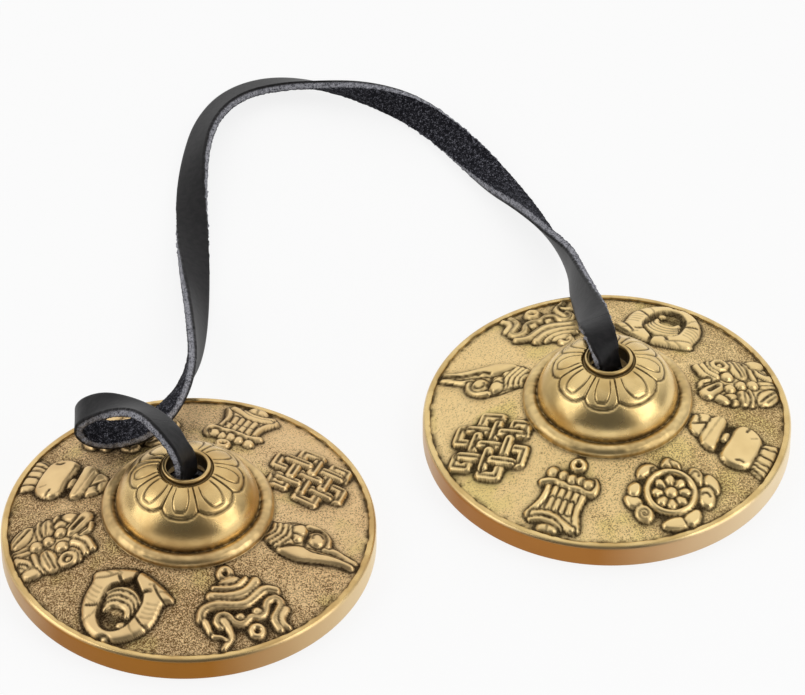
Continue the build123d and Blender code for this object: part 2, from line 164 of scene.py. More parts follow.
class Relief:
    """Height over a patch in millimetres, and the dark lines of its outlines and cuts: patina that also stands in for
    the shade there.
    """

    def __init__(self, u, v):
        self.u = u
        self.v = v
        self.height = np.zeros_like(u)
        self.dark_lines = np.zeros_like(u)

    def lay(self, inside, height, edge, moat):
        """Put a form on top. inside is the distance in from its outline, and is negative outside it."""
        rise = np.clip(inside / edge, 0, 1)
        form = height * np.sqrt(1 - (1 - rise) ** 2)
        line = np.maximum(self.dark_lines, np.clip((OUTLINE_WIDTH + inside) / OUTLINE_FADE, 0, 1))
        if moat:
            around = self.height * np.clip(-inside / moat, 0, 1)
            self.height = np.where(inside > 0, form, around)
            self.dark_lines = np.where(inside > 0, np.clip(0.7 - inside / 0.12, 0, 1), line)
        else:
            on_top = (inside > 0.1) & (form > self.height)
            open_side = (inside <= 0) & (self.height < 0.3)
            self.dark_lines = np.where(on_top, 0, np.where(open_side, line, self.dark_lines))
            self.height = np.maximum(self.height, form)

    def to_line(self, line):
        """Distance to a polyline, and how far along it the nearest point is, from 0 to 1."""
        nearest = np.full_like(self.u, np.inf)
        along = np.zeros_like(self.u)
        lengths = np.linalg.norm(np.diff(line, axis=0), axis=1)
        start = 0.0
        for a, b, length in zip(line[:-1], line[1:], lengths):
            du, dv = b - a
            share = ((self.u - a[0]) * du + (self.v - a[1]) * dv) / max(length**2, 1e-9)
            share = np.clip(share, 0, 1)
            gap = np.hypot(self.u - a[0] - share * du, self.v - a[1] - share * dv)
            nearer = gap < nearest
            nearest = np.where(nearer, gap, nearest)
            along = np.where(nearer, start + share * length, along)
            start += length
        return nearest, along / start

    def trace(self, points, smooth):
        """Distance to a drawn line and share along it. A line of a few points has its corners cut away first."""
        line = np.array(points, float)
        if smooth and 2 < len(line) < DENSE_LINE:
            line = smooth_line(line)
        return self.to_line(line)

    def stroke(self, points, width, height=RAISED, end=None, moat=MOAT, smooth=True, edge=0.32):
        """A raised band along a line, from its first width to its end width."""
        gap, along = self.trace(points, smooth)
        last = width if end is None else end
        half = 0.5 * (width + (last - width) * along)
        self.lay(half - gap, height, np.minimum(half, edge), moat)

    def blob(self, u, v, wide, high, turn=0.0, height=RAISED, moat=MOAT, edge=None):
        """A rounded lump with an oval outline."""
        c = math.cos(math.radians(turn))
        s = math.sin(math.radians(turn))
        x = (self.u - u) * c + (self.v - v) * s
        y = (self.v - v) * c - (self.u - u) * s
        inside = (1 - np.hypot(x / wide, y / high)) * min(wide, high)
        self.lay(inside, height, edge or 0.55 * min(wide, high), moat)

    def patch(self, points, height=RAISED, edge=0.6, moat=MOAT, rounds=1):
        """A raised area inside a closed outline."""
        outline = smooth_outline(points, rounds)
        gap, _ = self.to_line(outline)
        within = np.zeros(self.u.shape, bool)
        for (au, av), (bu, bv) in zip(outline[:-1], outline[1:]):
            if av != bv:
                crosses = (av > self.v) != (bv > self.v)
                within ^= crosses & (self.u < (bu - au) * (self.v - av) / (bv - av) + au)
        self.lay(np.where(within, gap, -gap), height, edge, moat)

    def ring(self, u, v, radius, width, height=RAISED, flat=1.0):
        """A raised hoop."""
        self.stroke(arc(u, v, radius, 0, 360, flat, 48), width, height)

    def groove(self, points, width=0.35, depth=0.4, smooth=True, slope=0.12):
        """An engraved line with sloping sides."""
        gap, _ = self.trace(points, smooth)
        self.height = self.height - depth * np.clip(1 - gap / (width / 2 + slope), 0, 1)
        self.dark_lines = np.maximum(self.dark_lines, np.clip((width / 2 + 0.2 - gap) / 0.16, 0, 1) * min(2.8 * depth, 1))


# The eight emblems, in millimetres: u runs to the right and v towards the dome

def draw_wheel(art):
    lobes = (
        [(-4, 4), (-3.9, 5.2), (-2.8, 6), (-1.6, 5.9), (-0.6, 5.2), (-0.6, 4.4), (-2, 4.2)],
        [(0.6, 4.6), (1.2, 5.5), (2.2, 5.8), (3, 5.1), (2.5, 4.2), (1.6, 4)],
        [(2.3, 4.7), (3, 5), (3.7, 4.2), (3.6, 3.3), (2.8, 3.3)],
        [(4.2, 1), (5, 2.4), (6.2, 2.1), (6.5, 0.8), (5.8, -0.6), (4.8, -0.8)],
        [(6.2, -0.6), (7.4, 0.5), (8.4, -0.8), (8.1, -2.6), (7.2, -3.5), (6.3, -2)],
        [(3.6, -3.9), (4.5, -1.9), (6.1, -1.8), (6.5, -3.6), (5.6, -5.1), (4.2, -5.4)],
        [(-4.4, -5), (-0.9, -5.2), (-0.8, -7.6), (-2.8, -7.3), (-4.7, -6.4)],
        [(-0.5, -5.3), (2.4, -5), (2.4, -6.4), (1.2, -7.5), (-0.4, -7.6)],
        [(-8.3, 2), (-6.9, 1.9), (-5.8, 0.3), (-6.2, -0.7), (-8.3, -0.4)],
        [(-7.2, 2.1), (-6.6, 3.5), (-5.2, 3.7), (-4.6, 2.8), (-5.4, 1.6), (-6.4, 1.4)],
        [(-8.1, -2.2), (-7.4, -0.9), (-6, -0.8), (-5.1, -2), (-5.6, -3.6), (-7.2, -3.9)],
    )
    for outline in lobes:
        middle = np.mean(outline, axis=0)
        art.patch(middle + LOBE_GROWTH * (np.array(outline) - middle), 0.8, 0.5, moat=0.15, rounds=2)
    art.groove(arc(-6.6, -2.3, np.linspace(0.1, 1.1, 48), 40, 616, count=48), 0.2, 0.3)
    for cut in (
        arc(5.3, 1.1, 0.6, -60, 150), [(-1.9, 4.3), (-1.5, 4.9), (-0.9, 4.9)], arc(4.9, -3.4, 0.7, -30, 130)
    ):
        art.groove(cut, 0.25, 0.35)
    art.blob(-0.35, -0.4, 4.85, 4.6, 0, 0.2, moat=0.4, edge=0.3)
    art.ring(-0.35, -0.4, 4.2, 1.15, 0.95, flat=0.95)
    art.groove(arc(-0.35, -0.4, 3.3, 0, 360, 0.95, 60), 0.4, 0.6)
    for spoke in range(8):
        turn = math.radians(22.5 + 45 * spoke)
        wedge = [(-0.3 + q * math.cos(turn), -0.42 + 0.95 * q * math.sin(turn)) for q in (1.75, 2.65)]
        art.stroke(wedge, 0.8, 0.7, 1.65, moat=0.15, edge=0.25)
    art.blob(-0.3, -0.42, 1.1, 1.05, 0, 0.85, moat=0.3, edge=0.4)


def draw_vase(art):
    knob = [(-2.3, 5), (-1.7, 6.9), (-0.4, 7.7), (1.9, 7.9), (3.3, 6.9), (4, 4.8), (1.2, 4.8)]
    art.patch(knob, 0.7, 0.5)
    art.groove([(0, 7.1), (0.8, 6.2), (1.6, 5.2)], 0.35, 0.5)
    art.groove([(0.9, 6.3), (1.8, 6.5), (2.5, 7.1)], 0.3, 0.45)
    lid = [(-3, 5.1), (0.6, 4.9), (4.3, 4.7), (4.8, 2.2), (2, 2.1), (-0.5, 2), (-4, 1.7)]
    art.patch(lid, 0.9, 0.4, moat=0.15)
    art.groove([(-2.6, 4.1), (0.6, 3.8), (4, 3.5)], 0.12, 0.15)
    art.groove([(-2.9, 1.2), (-0.6, 1.5), (1.8, 1.4), (4, 0.9)], 0.9, 0.3)
    art.blob(0.8, 1.2, 1.3, 0.6, -4, 0.6, moat=0.15)
    pot = [
        (-4.6, -0.3), (-3.8, 0.6), (-2.2, 0.8), (0.4, 0.4), (3.2, 0.5), (4.9, -0.1), (5.3, -1.6), (4.9, -3.4),
        (3.6, -4.8), (1, -5.2), (-0.8, -5.1), (-2.8, -5), (-4.2, -3.9), (-4.9, -2),
    ]
    art.patch(pot, 1, 0.9, moat=0.35)
    art.groove([(-3.4, -2.2), (-3, -2.8), (-3.1, -3.4)], 0.3, 0.35)
    art.groove([(3.6, -1.6), (4.8, -1.8)], 0.25, 0.35)
    art.groove([(2.6, -2.8), (3.2, -3.6)], 0.15, 0.18)
    skirt = [(-3.7, -5), (-1.3, -5), (-0.4, -5.2), (3.3, -5), (3.6, -6), (4.4, -7.7), (-0.5, -7.9), (-4.6, -7.8)]
    art.patch(skirt, 0.65, 0.4)
    for top, bottom in ((-3, -3.9), (-2, -2.6), (-1.1, -1.2), (0.6, 0.5), (2.3, 2.9)):
        art.groove([(top, -5.1), (0.5 * (top + bottom) - 0.2, -6.4), (bottom, -7.7)], 0.3, 0.4)


def draw_lotus(art):
    ground = [
        (-5.7, -3), (-5.9, -6.4), (-3.2, -7.8), (0, -7.9), (3.4, -7.8), (5.6, -6.4), (5.7, -3.6), (6.3, -1),
        (6.2, 1.8), (4.9, 4.5), (3, 5.7), (0.8, 5.2), (-0.8, 6.3), (-3, 6.3), (-4.2, 4.4), (-5.6, 3), (-5.9, 0.4),
    ]
    art.patch(ground, 0.3, 0.4, rounds=2)
    leaf = [(-5.9, -3), (-3.4, -3.7), (-1.9, -5.4), (-1.7, -7.7), (-4.2, -7.7), (-6, -5.4)]
    art.patch(leaf, 0.75, 0.9, rounds=2)
    art.groove([(-5, -3.9), (-3.8, -5.4), (-2.7, -7.2)], 0.35, 0.45)
    art.groove([(-5.2, -5), (-4.4, -6.2), (-3.6, -7.2)], 0.25, 0.3)
    art.stroke([(-1.1, -5.2), (-1, -7.7)], 0.8, 0.65)
    art.stroke([(-0.1, -5.2), (-0.2, -7.7)], 0.8, 0.65)
    art.stroke([(1, -7.6), (2, -6.2), (3.8, -5.4)], 1.7, 0.7, 1.5)
    art.groove([(1.8, -7.2), (2.4, -6.2), (3.4, -5.8)], 0.3, 0.45)
    art.blob(4.8, -5.9, 1.15, 1.9, -8, 0.75)
    art.stroke([(0.9, -4.6), (3, -4.5), (5.4, -3.4)], 0.95, 0.65)
    art.blob(3.5, -2.3, 2.7, 1.45, 8, 0.8)
    art.groove([(1.5, -2.4), (3.5, -2), (5.5, -1.8)], 0.25, 0.4)
    art.groove([(1.7, -3), (3.5, -2.8), (5.2, -2.6)], 0.2, 0.3)
    art.stroke([(-5.8, -1.9), (-3.8, -2.7), (-1.6, -2.6)], 0.9, 0.65, 0.6)
    art.blob(-3.9, -0.9, 2.1, 1.15, -14, 0.8)
    art.groove([(-5.3, -0.7), (-3.9, -1.1), (-2.4, -1.5)], 0.22, 0.3)
    art.blob(-5, 1.5, 0.95, 1.25, 0, 0.8)
    art.blob(-3.6, 1.3, 0.8, 1.2, 10, 0.65)
    art.blob(-4.2, 3.4, 1.7, 1, 50, 0.75)
    art.stroke([(0.4, 3), (2, 4.8), (4.4, 5.2)], 1.4, 0.8, 1.2)
    art.stroke([(1.5, 2.3), (2.8, 3.7), (4.8, 3.9)], 1.25, 0.8, 1)
    art.stroke([(2.9, 1.8), (4, 2.7), (5.7, 2.5)], 0.9, 0.7, 0.8)
    art.ring(4.7, 0.7, 1.2, 0.95, 0.8)
    art.blob(4.7, 0.7, 0.55, 0.55, 0, 0.65, moat=0.12)
    art.stroke([(-1.2, 6.2), (0.2, 5.8), (0.6, 4.2)], 0.9, 0.7, 0.7)
    art.stroke([(-2.9, 5.6), (-2.1, 4.6), (-1, 2.6)], 2.7, 0.9, 2, edge=0.8)
    art.groove([(-2.5, 5.2), (-1.9, 4.2), (-1.1, 3)], 0.6, 0.6)
    for u, v, size in ((-1.7, 0.9, 1.05), (1.5, 0.35, 1.15), (-0.8, -1.5, 1), (-0.7, -3.7, 1.1)):
        art.blob(u, v, size, size, 0, 0.9, moat=0.35)


def draw_fish(art):
    bodies = [
        (-0.4, 6.2), (-2.6, 5.8), (-5.4, 4.9), (-8.1, 3.5), (-7.3, 2), (-7.5, -0.6), (-7, -3.2), (-5.6, -5.8),
        (-3.6, -7.4), (-1.4, -8), (1.2, -7.8), (3.2, -6.6), (5, -4.8), (6.2, -2.2), (6.1, 0.6), (5.9, 1.9),
        (8, 3.2), (5.2, 4.6), (2.2, 5.6),
    ]
    art.patch(bodies, 0.95, 1.1)
    throat = [
        (-0.5, 4.3), (-2.2, 2.8), (-4, 1.6), (-4, -1.2), (-3.7, -3.6), (-2.4, -5.4), (-0.8, -6), (0.8, -5.4),
        (2, -3.8), (2.5, -1.6), (2.5, 1.4), (1, 2.9),
    ]
    art.patch(throat, 0.05, 0.3, moat=0.3)
    art.groove([(-2.4, -3.6), (-1.2, -4.1), (0.6, -3.6)], 2.2, 0.3)
    for index in range(4):
        v = 1.9 - index
        half = 2.8 - 0.25 * index
        arch = [(-0.8 - half, v - 1.3), (-2.4, v), (-0.8, v + 0.35), (0.8, v), (half - 0.8, v - 1.3)]
        art.stroke(arch, 0.95, 0.75 - 0.05 * index, moat=0.12)
    art.blob(0.9, -4.2, 0.75, 0.6, 30, 0.45, moat=0.1)
    art.groove([(-0.4, 6.3), (-0.5, 5.2), (-0.5, 4.2)], 0.55, 0.7)
    art.groove([(-0.5, 4.4), (-1.2, 3.2), (-2.6, 2.5)], 0.3, 0.5)
    art.groove([(-0.4, 4.4), (0.5, 3), (1.9, 2.3)], 0.3, 0.5)
    art.groove([(-3.2, 4), (-2.6, 3.3), (-2, 3)], 0.4, 0.5)
    art.groove([(1.9, 2.2), (2.4, 2.9), (3.1, 3.2)], 0.4, 0.5)
    art.groove([(-6.2, -2.9), (-5, -2.6), (-3.9, -1.9)], 0.28, 0.45)
    art.groove([(5.6, -3.4), (4.2, -3), (2.7, -2)], 0.25, 0.4)
    art.groove([(-6.9, 2.4), (-5.2, 3), (-3.6, 4.3)], 0.2, 0.25)
    art.groove([(6, 2.2), (4.6, 3), (3.2, 4.3)], 0.25, 0.35)
    for v in (1.4, 0.5, -0.4, -1.3):
        art.groove([(-7, v), (-6, v - 0.5), (-5, v - 0.6)], 0.14, 0.14)
        art.groove([(5.7, v), (4.8, v - 0.5), (3.6, v - 0.6)], 0.14, 0.14)
    for a, b, c, d in ((-6, 4.4, -4.6, 3.9), (-4.2, 5.1, -3, 4.5), (5.6, 4.1, 4.6, 3.6), (3.4, 4.8, 2.4, 4.2)):
        art.groove([(a, b), (c, d)], 0.15, 0.18)
    art.groove([(-5.4, -5.6), (-4.4, -4.4), (-4.2, -3.4)], 0.15, 0.2)
    art.groove([(4.2, -5.2), (3, -4.6), (2.4, -3.8)], 0.15, 0.2)
    art.groove([(-1.6, -8), (-0.9, -7.2), (0.2, -7.2), (0.9, -7.9)], 0.35, 0.5)
    art.blob(-0.3, -7.8, 0.6, 0.4, 0, 0.6, moat=0.1)


def draw_parasol(art):
    art.ring(-0.7, 6, 1, 1.1, 0.8)
    cap = [(-1.9, 5.2), (0.5, 5.2), (1.7, 4.1), (0.2, 3.7), (-1.8, 3.7), (-3.2, 4.3)]
    art.patch(cap, 0.75, 0.5)
    art.stroke([(-3.6, 4.2), (-1.4, 3.2), (0.6, 3.1), (2.2, 4)], 1, 0.8)
    art.stroke([(-4.7, 3), (-2.4, 1.9), (0.2, 1.5), (2, 1.9), (3.6, 3)], 1.7, 0.85)
    art.groove([(-4.2, 2.6), (-2.2, 1.7), (0.2, 1.2), (2.2, 1.7), (3.4, 2.5)], 0.18, 0.25)
    edge = [(-8, -0.2), (-7, 1.4), (-4.6, 1.3), (-1.9, 0), (0.2, -0.5), (2.2, 0.2), (4.4, 1.3), (6.1, 0.3)]
    art.stroke(edge, 1.6, 0.85)
    art.groove([(u, v - 0.25) for u, v in edge], 0.2, 0.3)
    ribbon = [
        (-5.5, -2.9), (-5.9, -1.6), (-4.7, -0.6), (-3.4, -1.3), (-3.2, -2.9), (-1.9, -3.9), (-0.7, -3.2), (0.3, -2.9),
        (1.4, -3.6), (2.8, -3), (3.6, -1.2), (5.4, -0.8), (6.3, -2.1), (4.9, -3.4), (3.3, -4.7), (3.8, -6.8),
    ]
    art.groove([(-3, -0.9), (-1.2, -1.6), (0.2, -1.9), (1.6, -1.5), (3, -0.9)], 0.9, 0.3)
    art.stroke(ribbon, 1.3, 0.8)
    art.groove(ribbon, 0.14, 0.2)
    for u in (-1.6, 1.5):
        art.blob(u, -2.2, 0.8, 0.7, 0, 0.65, moat=0.15)
    art.stroke([(-7.5, -1.1), (-7.6, -3.2)], 1.2, 0.8, 1)
    art.stroke([(-4.6, -2), (-4.3, -3.6), (-4.5, -5.4), (-6, -6.2), (-6.8, -6.8)], 1.3, 0.75, 0.9)
    art.stroke([(-7.3, -4), (-6, -4.6), (-5.6, -5.4)], 0.9, 0.65, 0.5)
    art.stroke([(6.4, -3.6), (5, -4.6), (4.7, -5.8), (5.3, -7)], 1.2, 0.75, 1)
    art.ring(-0.1, -5.8, 1, 1.1, 0.85)


def draw_conch(art):
    ground = [
        (-3.9, 5.8), (-2.6, 7.8), (-0.4, 8.3), (1.6, 7.4), (3, 5.6), (4, 4), (4.7, 1), (4, -1.6), (2.1, -2.6),
        (1.8, -5), (1.6, -7.5), (-1.1, -7.8), (-1.2, -5), (-2.5, -2), (-4.2, 1.4),
    ]
    art.patch(ground, 0.25, 0.4)
    for index, (lift, width) in enumerate(((1.7, 0.7), (0.8, 0.85), (-0.15, 0.95), (-1.1, 1), (-2, 0.95))):
        half = 1.6 + 0.3 * index
        ridge = [(-0.5 - half, 6.6 + lift), (-0.8, 5.7 + lift), (0.3, 5.4 + lift), (half, 5.9 + lift)]
        art.stroke(ridge, width, 0.8, 0.75 * width, moat=0.14)
    body = [
        (-3.9, 5.8), (-4.3, 2.2), (-3.3, 0), (-2.1, -2.4), (-1, -5), (-1, -7.7),
        (0.6, -7.7), (0.7, -5.2), (0.2, -2.4), (-0.3, -0.6), (-0.7, 2.2), (-2.2, 4.4),
    ]
    art.patch(body, 0.95, 1.1, rounds=2)
    art.groove([(-0.9, -1), (0.1, -3.4), (0.2, -7.4)], 0.28, 0.45)
    art.groove([(-1, 1), (-1.2, -0.3), (-0.6, -1.1)], 0.3, 0.4)
    art.stroke([(0.9, -1.8), (1.5, -3.6), (1.1, -5.4), (1, -7.4)], 1.1, 0.65, 0.8)
    lump = [(-0.8, 3.5), (1.2, 4.1), (2.8, 4.8), (4.2, 3.2), (3, 1.9), (0.4, 2)]
    art.patch(lump, 0.85, 0.8, rounds=2)
    art.groove([(1.3, 3.9), (1.1, 2.9), (1.6, 2.2)], 0.25, 0.4)
    art.stroke([(4.1, 2.2), (4.4, 0.4), (3.4, -1.7), (1.8, -2)], 1.2, 0.8, 1)
    art.blob(2.1, 0.1, 1.7, 1.5, 15, 0.9)
    art.groove(arc(2.2, 0.1, 0.9, -60, 120), 0.25, 0.35)
    art.groove([(-0.2, 1.5), (1, 1.8), (2.2, 1.7)], 0.6, 0.4)


def draw_knot(art):
    step = 2.9
    reach = 4.5
    out = 6.2
    far = 5.2
    band = 1.8
    rows = (-step, 0, step)

    def place(points):
        """Points given along the two slanting directions of the strands."""
        return [(0.72 * (p + q) - 0.2, 0.7 * (p - q) + 0.3) for p, q in points]

    def crossings(half):
        """A short run of the upper strand at each crossing."""
        for across, p in enumerate(rows):
            for along, q in enumerate(rows):
                if (across + along) % 2 == 0:
                    yield place([(p - half, q), (p + half, q)])
                else:
                    yield place([(p, q - half), (p, q + half)])

    for strand in [[(-reach, q), (reach, q)] for q in rows] + [[(p, -reach), (p, reach)] for p in rows]:
        art.stroke(place(strand), band, 0.7, moat=0.2, edge=0.25)
    loops = [
        [(reach, 0), (out, 0), (out, step), (reach, step)],
        [(0, reach), (0, out), (step, out), (step, reach)],
        [(reach, -step), (far, -step), (far, -far), (step, -far), (step, -reach)],
    ]
    loops += [[(-p, -q) for p, q in loop] for loop in loops]
    for loop in loops:
        art.stroke(place(loop), band, 0.75, moat=0, smooth=False, edge=0.25)
    for over in crossings(1.7):
        art.stroke(over, band, 0.95, moat=0.35, edge=0.25)
    for loop in loops:
        art.groove(place(loop), 0.3, 0.4, smooth=False, slope=0.1)
    for middle in crossings(1.6):
        art.groove(middle, 0.3, 0.4, slope=0.1)


def draw_banner(art):
    art.ring(0.9, 6, 1, 0.95, 0.8, flat=0.9)
    skirt = [
        (-2.4, 1), (-2.6, -2), (-4.9, -5), (-4, -6.7), (-2, -6.3), (0, -5.9),
        (2.4, -6.6), (4.6, -7.1), (5.5, -6.3), (4.2, -3.4), (4.3, 1),
    ]
    art.patch(skirt, 0.55, 0.5)
    art.stroke([(-2.7, 0.8), (-2.7, -2), (-4.4, -5.2)], 1, 0.8, 1.2)
    art.stroke([(3.7, 0.8), (3.5, -2.8), (4.9, -6)], 1.3, 0.8, 1)
    for u in (-1.3, 0, 1.3, 2.5):
        art.stroke([(u, 0.8), (u, -1)], 1.05, 0.75, moat=0.15)
    for u in (-1.2, 0, 1.2, 2.3):
        art.stroke([(u, -1.7), (1.05 * u, -3.2)], 1.05, 0.75, moat=0.15)
    art.stroke([(-3.2, -5), (-1.4, -4.4), (0.4, -4.6), (2.2, -5.6), (4, -6.2)], 1.3, 0.8)
    art.stroke([(-3.6, -6.2), (-1.6, -5.4), (0.6, -5.6), (2, -6.6)], 0.8, 0.7)
    art.blob(-0.2, -7.2, 1.9, 1, 0, 0.8)
    art.groove([(-0.2, -6.6), (0.1, -7.8)], 0.2, 0.3)
    bar = [(-4.1, 1.3), (-2.4, 2.2), (0.4, 1.6), (3.4, 1.7), (5.2, 1.2), (5.4, 2.8), (4.6, 3.9)]
    art.stroke(bar, 1.2, 0.85)
    for u, v, size in ((-2.9, 3.6, 1.05), (-0.9, 3.4, 0.95), (0.8, 3.1, 1), (2.4, 3.3, 0.9), (3.8, 3, 1)):
        art.blob(u, v, size, size, 0, 0.8)


# Angle of each emblem on the casting, in degrees
EMBLEMS = (
    (297.4, draw_wheel),
    (337.5, draw_vase),
    (16.3, draw_lotus),
    (65.2, draw_fish),
    (116.3, draw_parasol),
    (160.6, draw_conch),
    (205.6, draw_knot),
    (248.5, draw_banner),
)


# The casting: one profile, turned, with relief on the field and cuts on the dome

def soften(grid, passes):
    """Blur a grid of rings by angle, which closes on itself by angle and ends at the first and last ring."""
    for _ in range(passes):
        grid = 0.5 * grid + 0.25 * (np.roll(grid, 1, axis=1) + np.roll(grid, -1, axis=1))
        wider = np.pad(grid, ((1, 1), (0, 0)), "edge")
        grid = 0.5 * grid + 0.25 * (wider[:-2] + wider[2:])
    return grid


def value_noise(x, y, cell, seed):
    """Smooth noise from 0 to 1 with lumps about one cell wide."""
    table = np.random.default_rng(seed).random((NOISE_TABLE, NOISE_TABLE))
    column = x / cell
    row = y / cell
    left = np.floor(column).astype(int)
    low = np.floor(row).astype(int)
    right_share = column - left
    high_share = row - low
    right_share = right_share * right_share * (3 - 2 * right_share)
    high_share = high_share * high_share * (3 - 2 * high_share)

    def between(level):
        start = table[left % NOISE_TABLE, level % NOISE_TABLE]
        return start * (1 - right_share) + table[(left + 1) % NOISE_TABLE, level % NOISE_TABLE] * right_share

    return between(low) * (1 - high_share) + between(low + 1) * high_share


def run(r0, z0, r1, z1, count, closed=False):
    """Points along a straight stretch of the profile; the last one is left to the next stretch unless closed."""
    share = np.linspace(0, 1, count + 1)[: None if closed else -1]
    return [(r0 + (r1 - r0) * s, z0 + (z1 - z0) * s) for s in share]


def bend(r, z, radius, start, end, count):
    """Points round an arc of the profile, angles in degrees."""
    turns = np.radians(np.linspace(start, end, count))
    return [(r + radius * math.cos(t), z + radius * math.sin(t)) for t in turns]


def bowl(radius, rise, turns):
    """Points along a quarter ellipse that stands on the dome's foot, angles in radians."""
    return [(radius * math.cos(t), DOME_FOOT_Z + rise * math.sin(t)) for t in turns]


def make_profile():
    """Stretches of the casting's section from the hole's lower mouth over the top and back underneath."""
    groove_z = COLLAR_TOP - COLLAR_HEIGHT - GROOVE_DEPTH
    groove_r = COLLAR_RADIUS + GROOVE_WIDTH
    hollow_r = DOME_RADIUS - DOME_WALL
    hollow_rise = DOME_RISE - DOME_WALL
    mouth_z = DOME_FOOT_Z + hollow_rise * math.sqrt(1 - (HOLE_RADIUS / hollow_r) ** 2)
    wall_foot = RIM_RADIUS - RIM_FACE_WIDTH
    wall_top = wall_foot - RIM_WALL_DRAFT
    slope = math.atan(FIELD_SLOPE)
    field_start = BEAD_RADIUS + BEAD_SECTION_RADIUS * math.cos(slope) + 0.12

    hole = run(HOLE_RADIUS, mouth_z + 0.25, HOLE_RADIUS, COLLAR_TOP - HOLE_ROUND, 8)
    hole += bend(HOLE_RADIUS + HOLE_ROUND, COLLAR_TOP - HOLE_ROUND, HOLE_ROUND, 180, 90, 5)
    hole += bend(COLLAR_RADIUS - COLLAR_ROUND, COLLAR_TOP - COLLAR_ROUND, COLLAR_ROUND, 90, 0, 4)
    hole += run(COLLAR_RADIUS, COLLAR_TOP - 0.35, COLLAR_RADIUS, groove_z + 0.1, 3)
    hole += bend((COLLAR_RADIUS + groove_r) / 2, groove_z + 0.2, GROOVE_WIDTH / 2, 180, 360, 7)
    first = math.acos((groove_r + 0.1) / DOME_RADIUS)
    dome = bowl(DOME_RADIUS, DOME_RISE, np.linspace(first, 0.03, DOME_ROWS))
    bead = bend(BEAD_RADIUS, BEAD_Z, BEAD_SECTION_RADIUS, BEAD_START, -math.degrees(slope), BEAD_ROWS)
    field = run(field_start, field_z(field_start), FIELD_RADIUS, FIELD_EDGE_Z, FIELD_ROWS, True)
    lip = bend(FIELD_RADIUS + LIP_ROUND, RIM_HEIGHT - LIP_ROUND, LIP_ROUND, 180, 90, 4)
    lip += bend(RIM_RADIUS - RIM_EDGE_ROUND, RIM_HEIGHT - RIM_EDGE_ROUND, RIM_EDGE_ROUND, 90, 0, 8)
    lip += run(RIM_RADIUS, RIM_HEIGHT - RIM_EDGE_ROUND - 0.3, RIM_RADIUS, RIM_FOOT_ROUND, 6)
    lip += bend(RIM_RADIUS - RIM_FOOT_ROUND, RIM_FOOT_ROUND, RIM_FOOT_ROUND, 0, -90, 4)
    rest = run(RIM_RADIUS - 0.8, 0, RIM_RADIUS - 2.4, 0, 2, True)
    back = run(RIM_RADIUS - 3.2, 0, wall_foot + 0.2, 0, 4, True)
    back += run(wall_foot, 0.2, wall_top, field_z(wall_top) - PLATE_DROP - 0.2, 4, True)
    plate_r = wall_top - 0.2
    foot_r = hollow_r + 1.2
    plate_z, foot_z, corner_z = (field_z(r) - PLATE_DROP for r in (plate_r, foot_r, hollow_r))
    back += run(plate_r, plate_z, foot_r, foot_z, PLATE_ROWS, True)
    back += [(hollow_r + 0.5, corner_z + 0.1), (hollow_r + 0.12, corner_z + 0.45)]
    back += run(hollow_r, corner_z + 1.1, hollow_r, DOME_FOOT_Z, 4)
    last = math.acos((HOLE_RADIUS + 0.2) / hollow_r)
    back += bowl(hollow_r, hollow_rise, np.linspace(0, last, HOLLOW_ROWS))
    return {"hole": hole, "dome": dome, "bead": bead, "field": field, "lip": lip, "rest": rest, "back": back}


class Zone:
    """The rings of one stretch of the profile: how far each point is moved outwards, and what is stored there."""

    def __init__(self, points, count):
        self.rows = len(points)
        self.count = count
        self.r, self.z = np.array(points).T[:, :, None]
        self.angle = np.linspace(0, 2 * math.pi, count, endpoint=False)[None, :]
        for label in ("shift",) + STORED:
            setattr(self, label, np.zeros((self.rows, count)))


def field_relief(x, y):
    """Relief height and dark outlines over the field."""
    height = np.zeros_like(x)
    dark_lines = np.zeros_like(x)
    for degrees, draw in EMBLEMS:
        turn = math.radians(degrees)
        v = EMBLEM_RADIUS - (x * math.cos(turn) + y * math.sin(turn))
        u = y * math.cos(turn) - x * math.sin(turn)
        near = (np.abs(u) < EMBLEM_REACH) & (np.abs(v) < EMBLEM_REACH)
        relief = Relief(u[near], v[near])
        draw(relief)
        height[near] = np.where(np.abs(relief.height) > 1e-4, relief.height, height[near])
        dark_lines[near] = np.maximum(dark_lines[near], relief.dark_lines)
    return soften(np.clip(height, -0.25, 1.0), 1), dark_lines


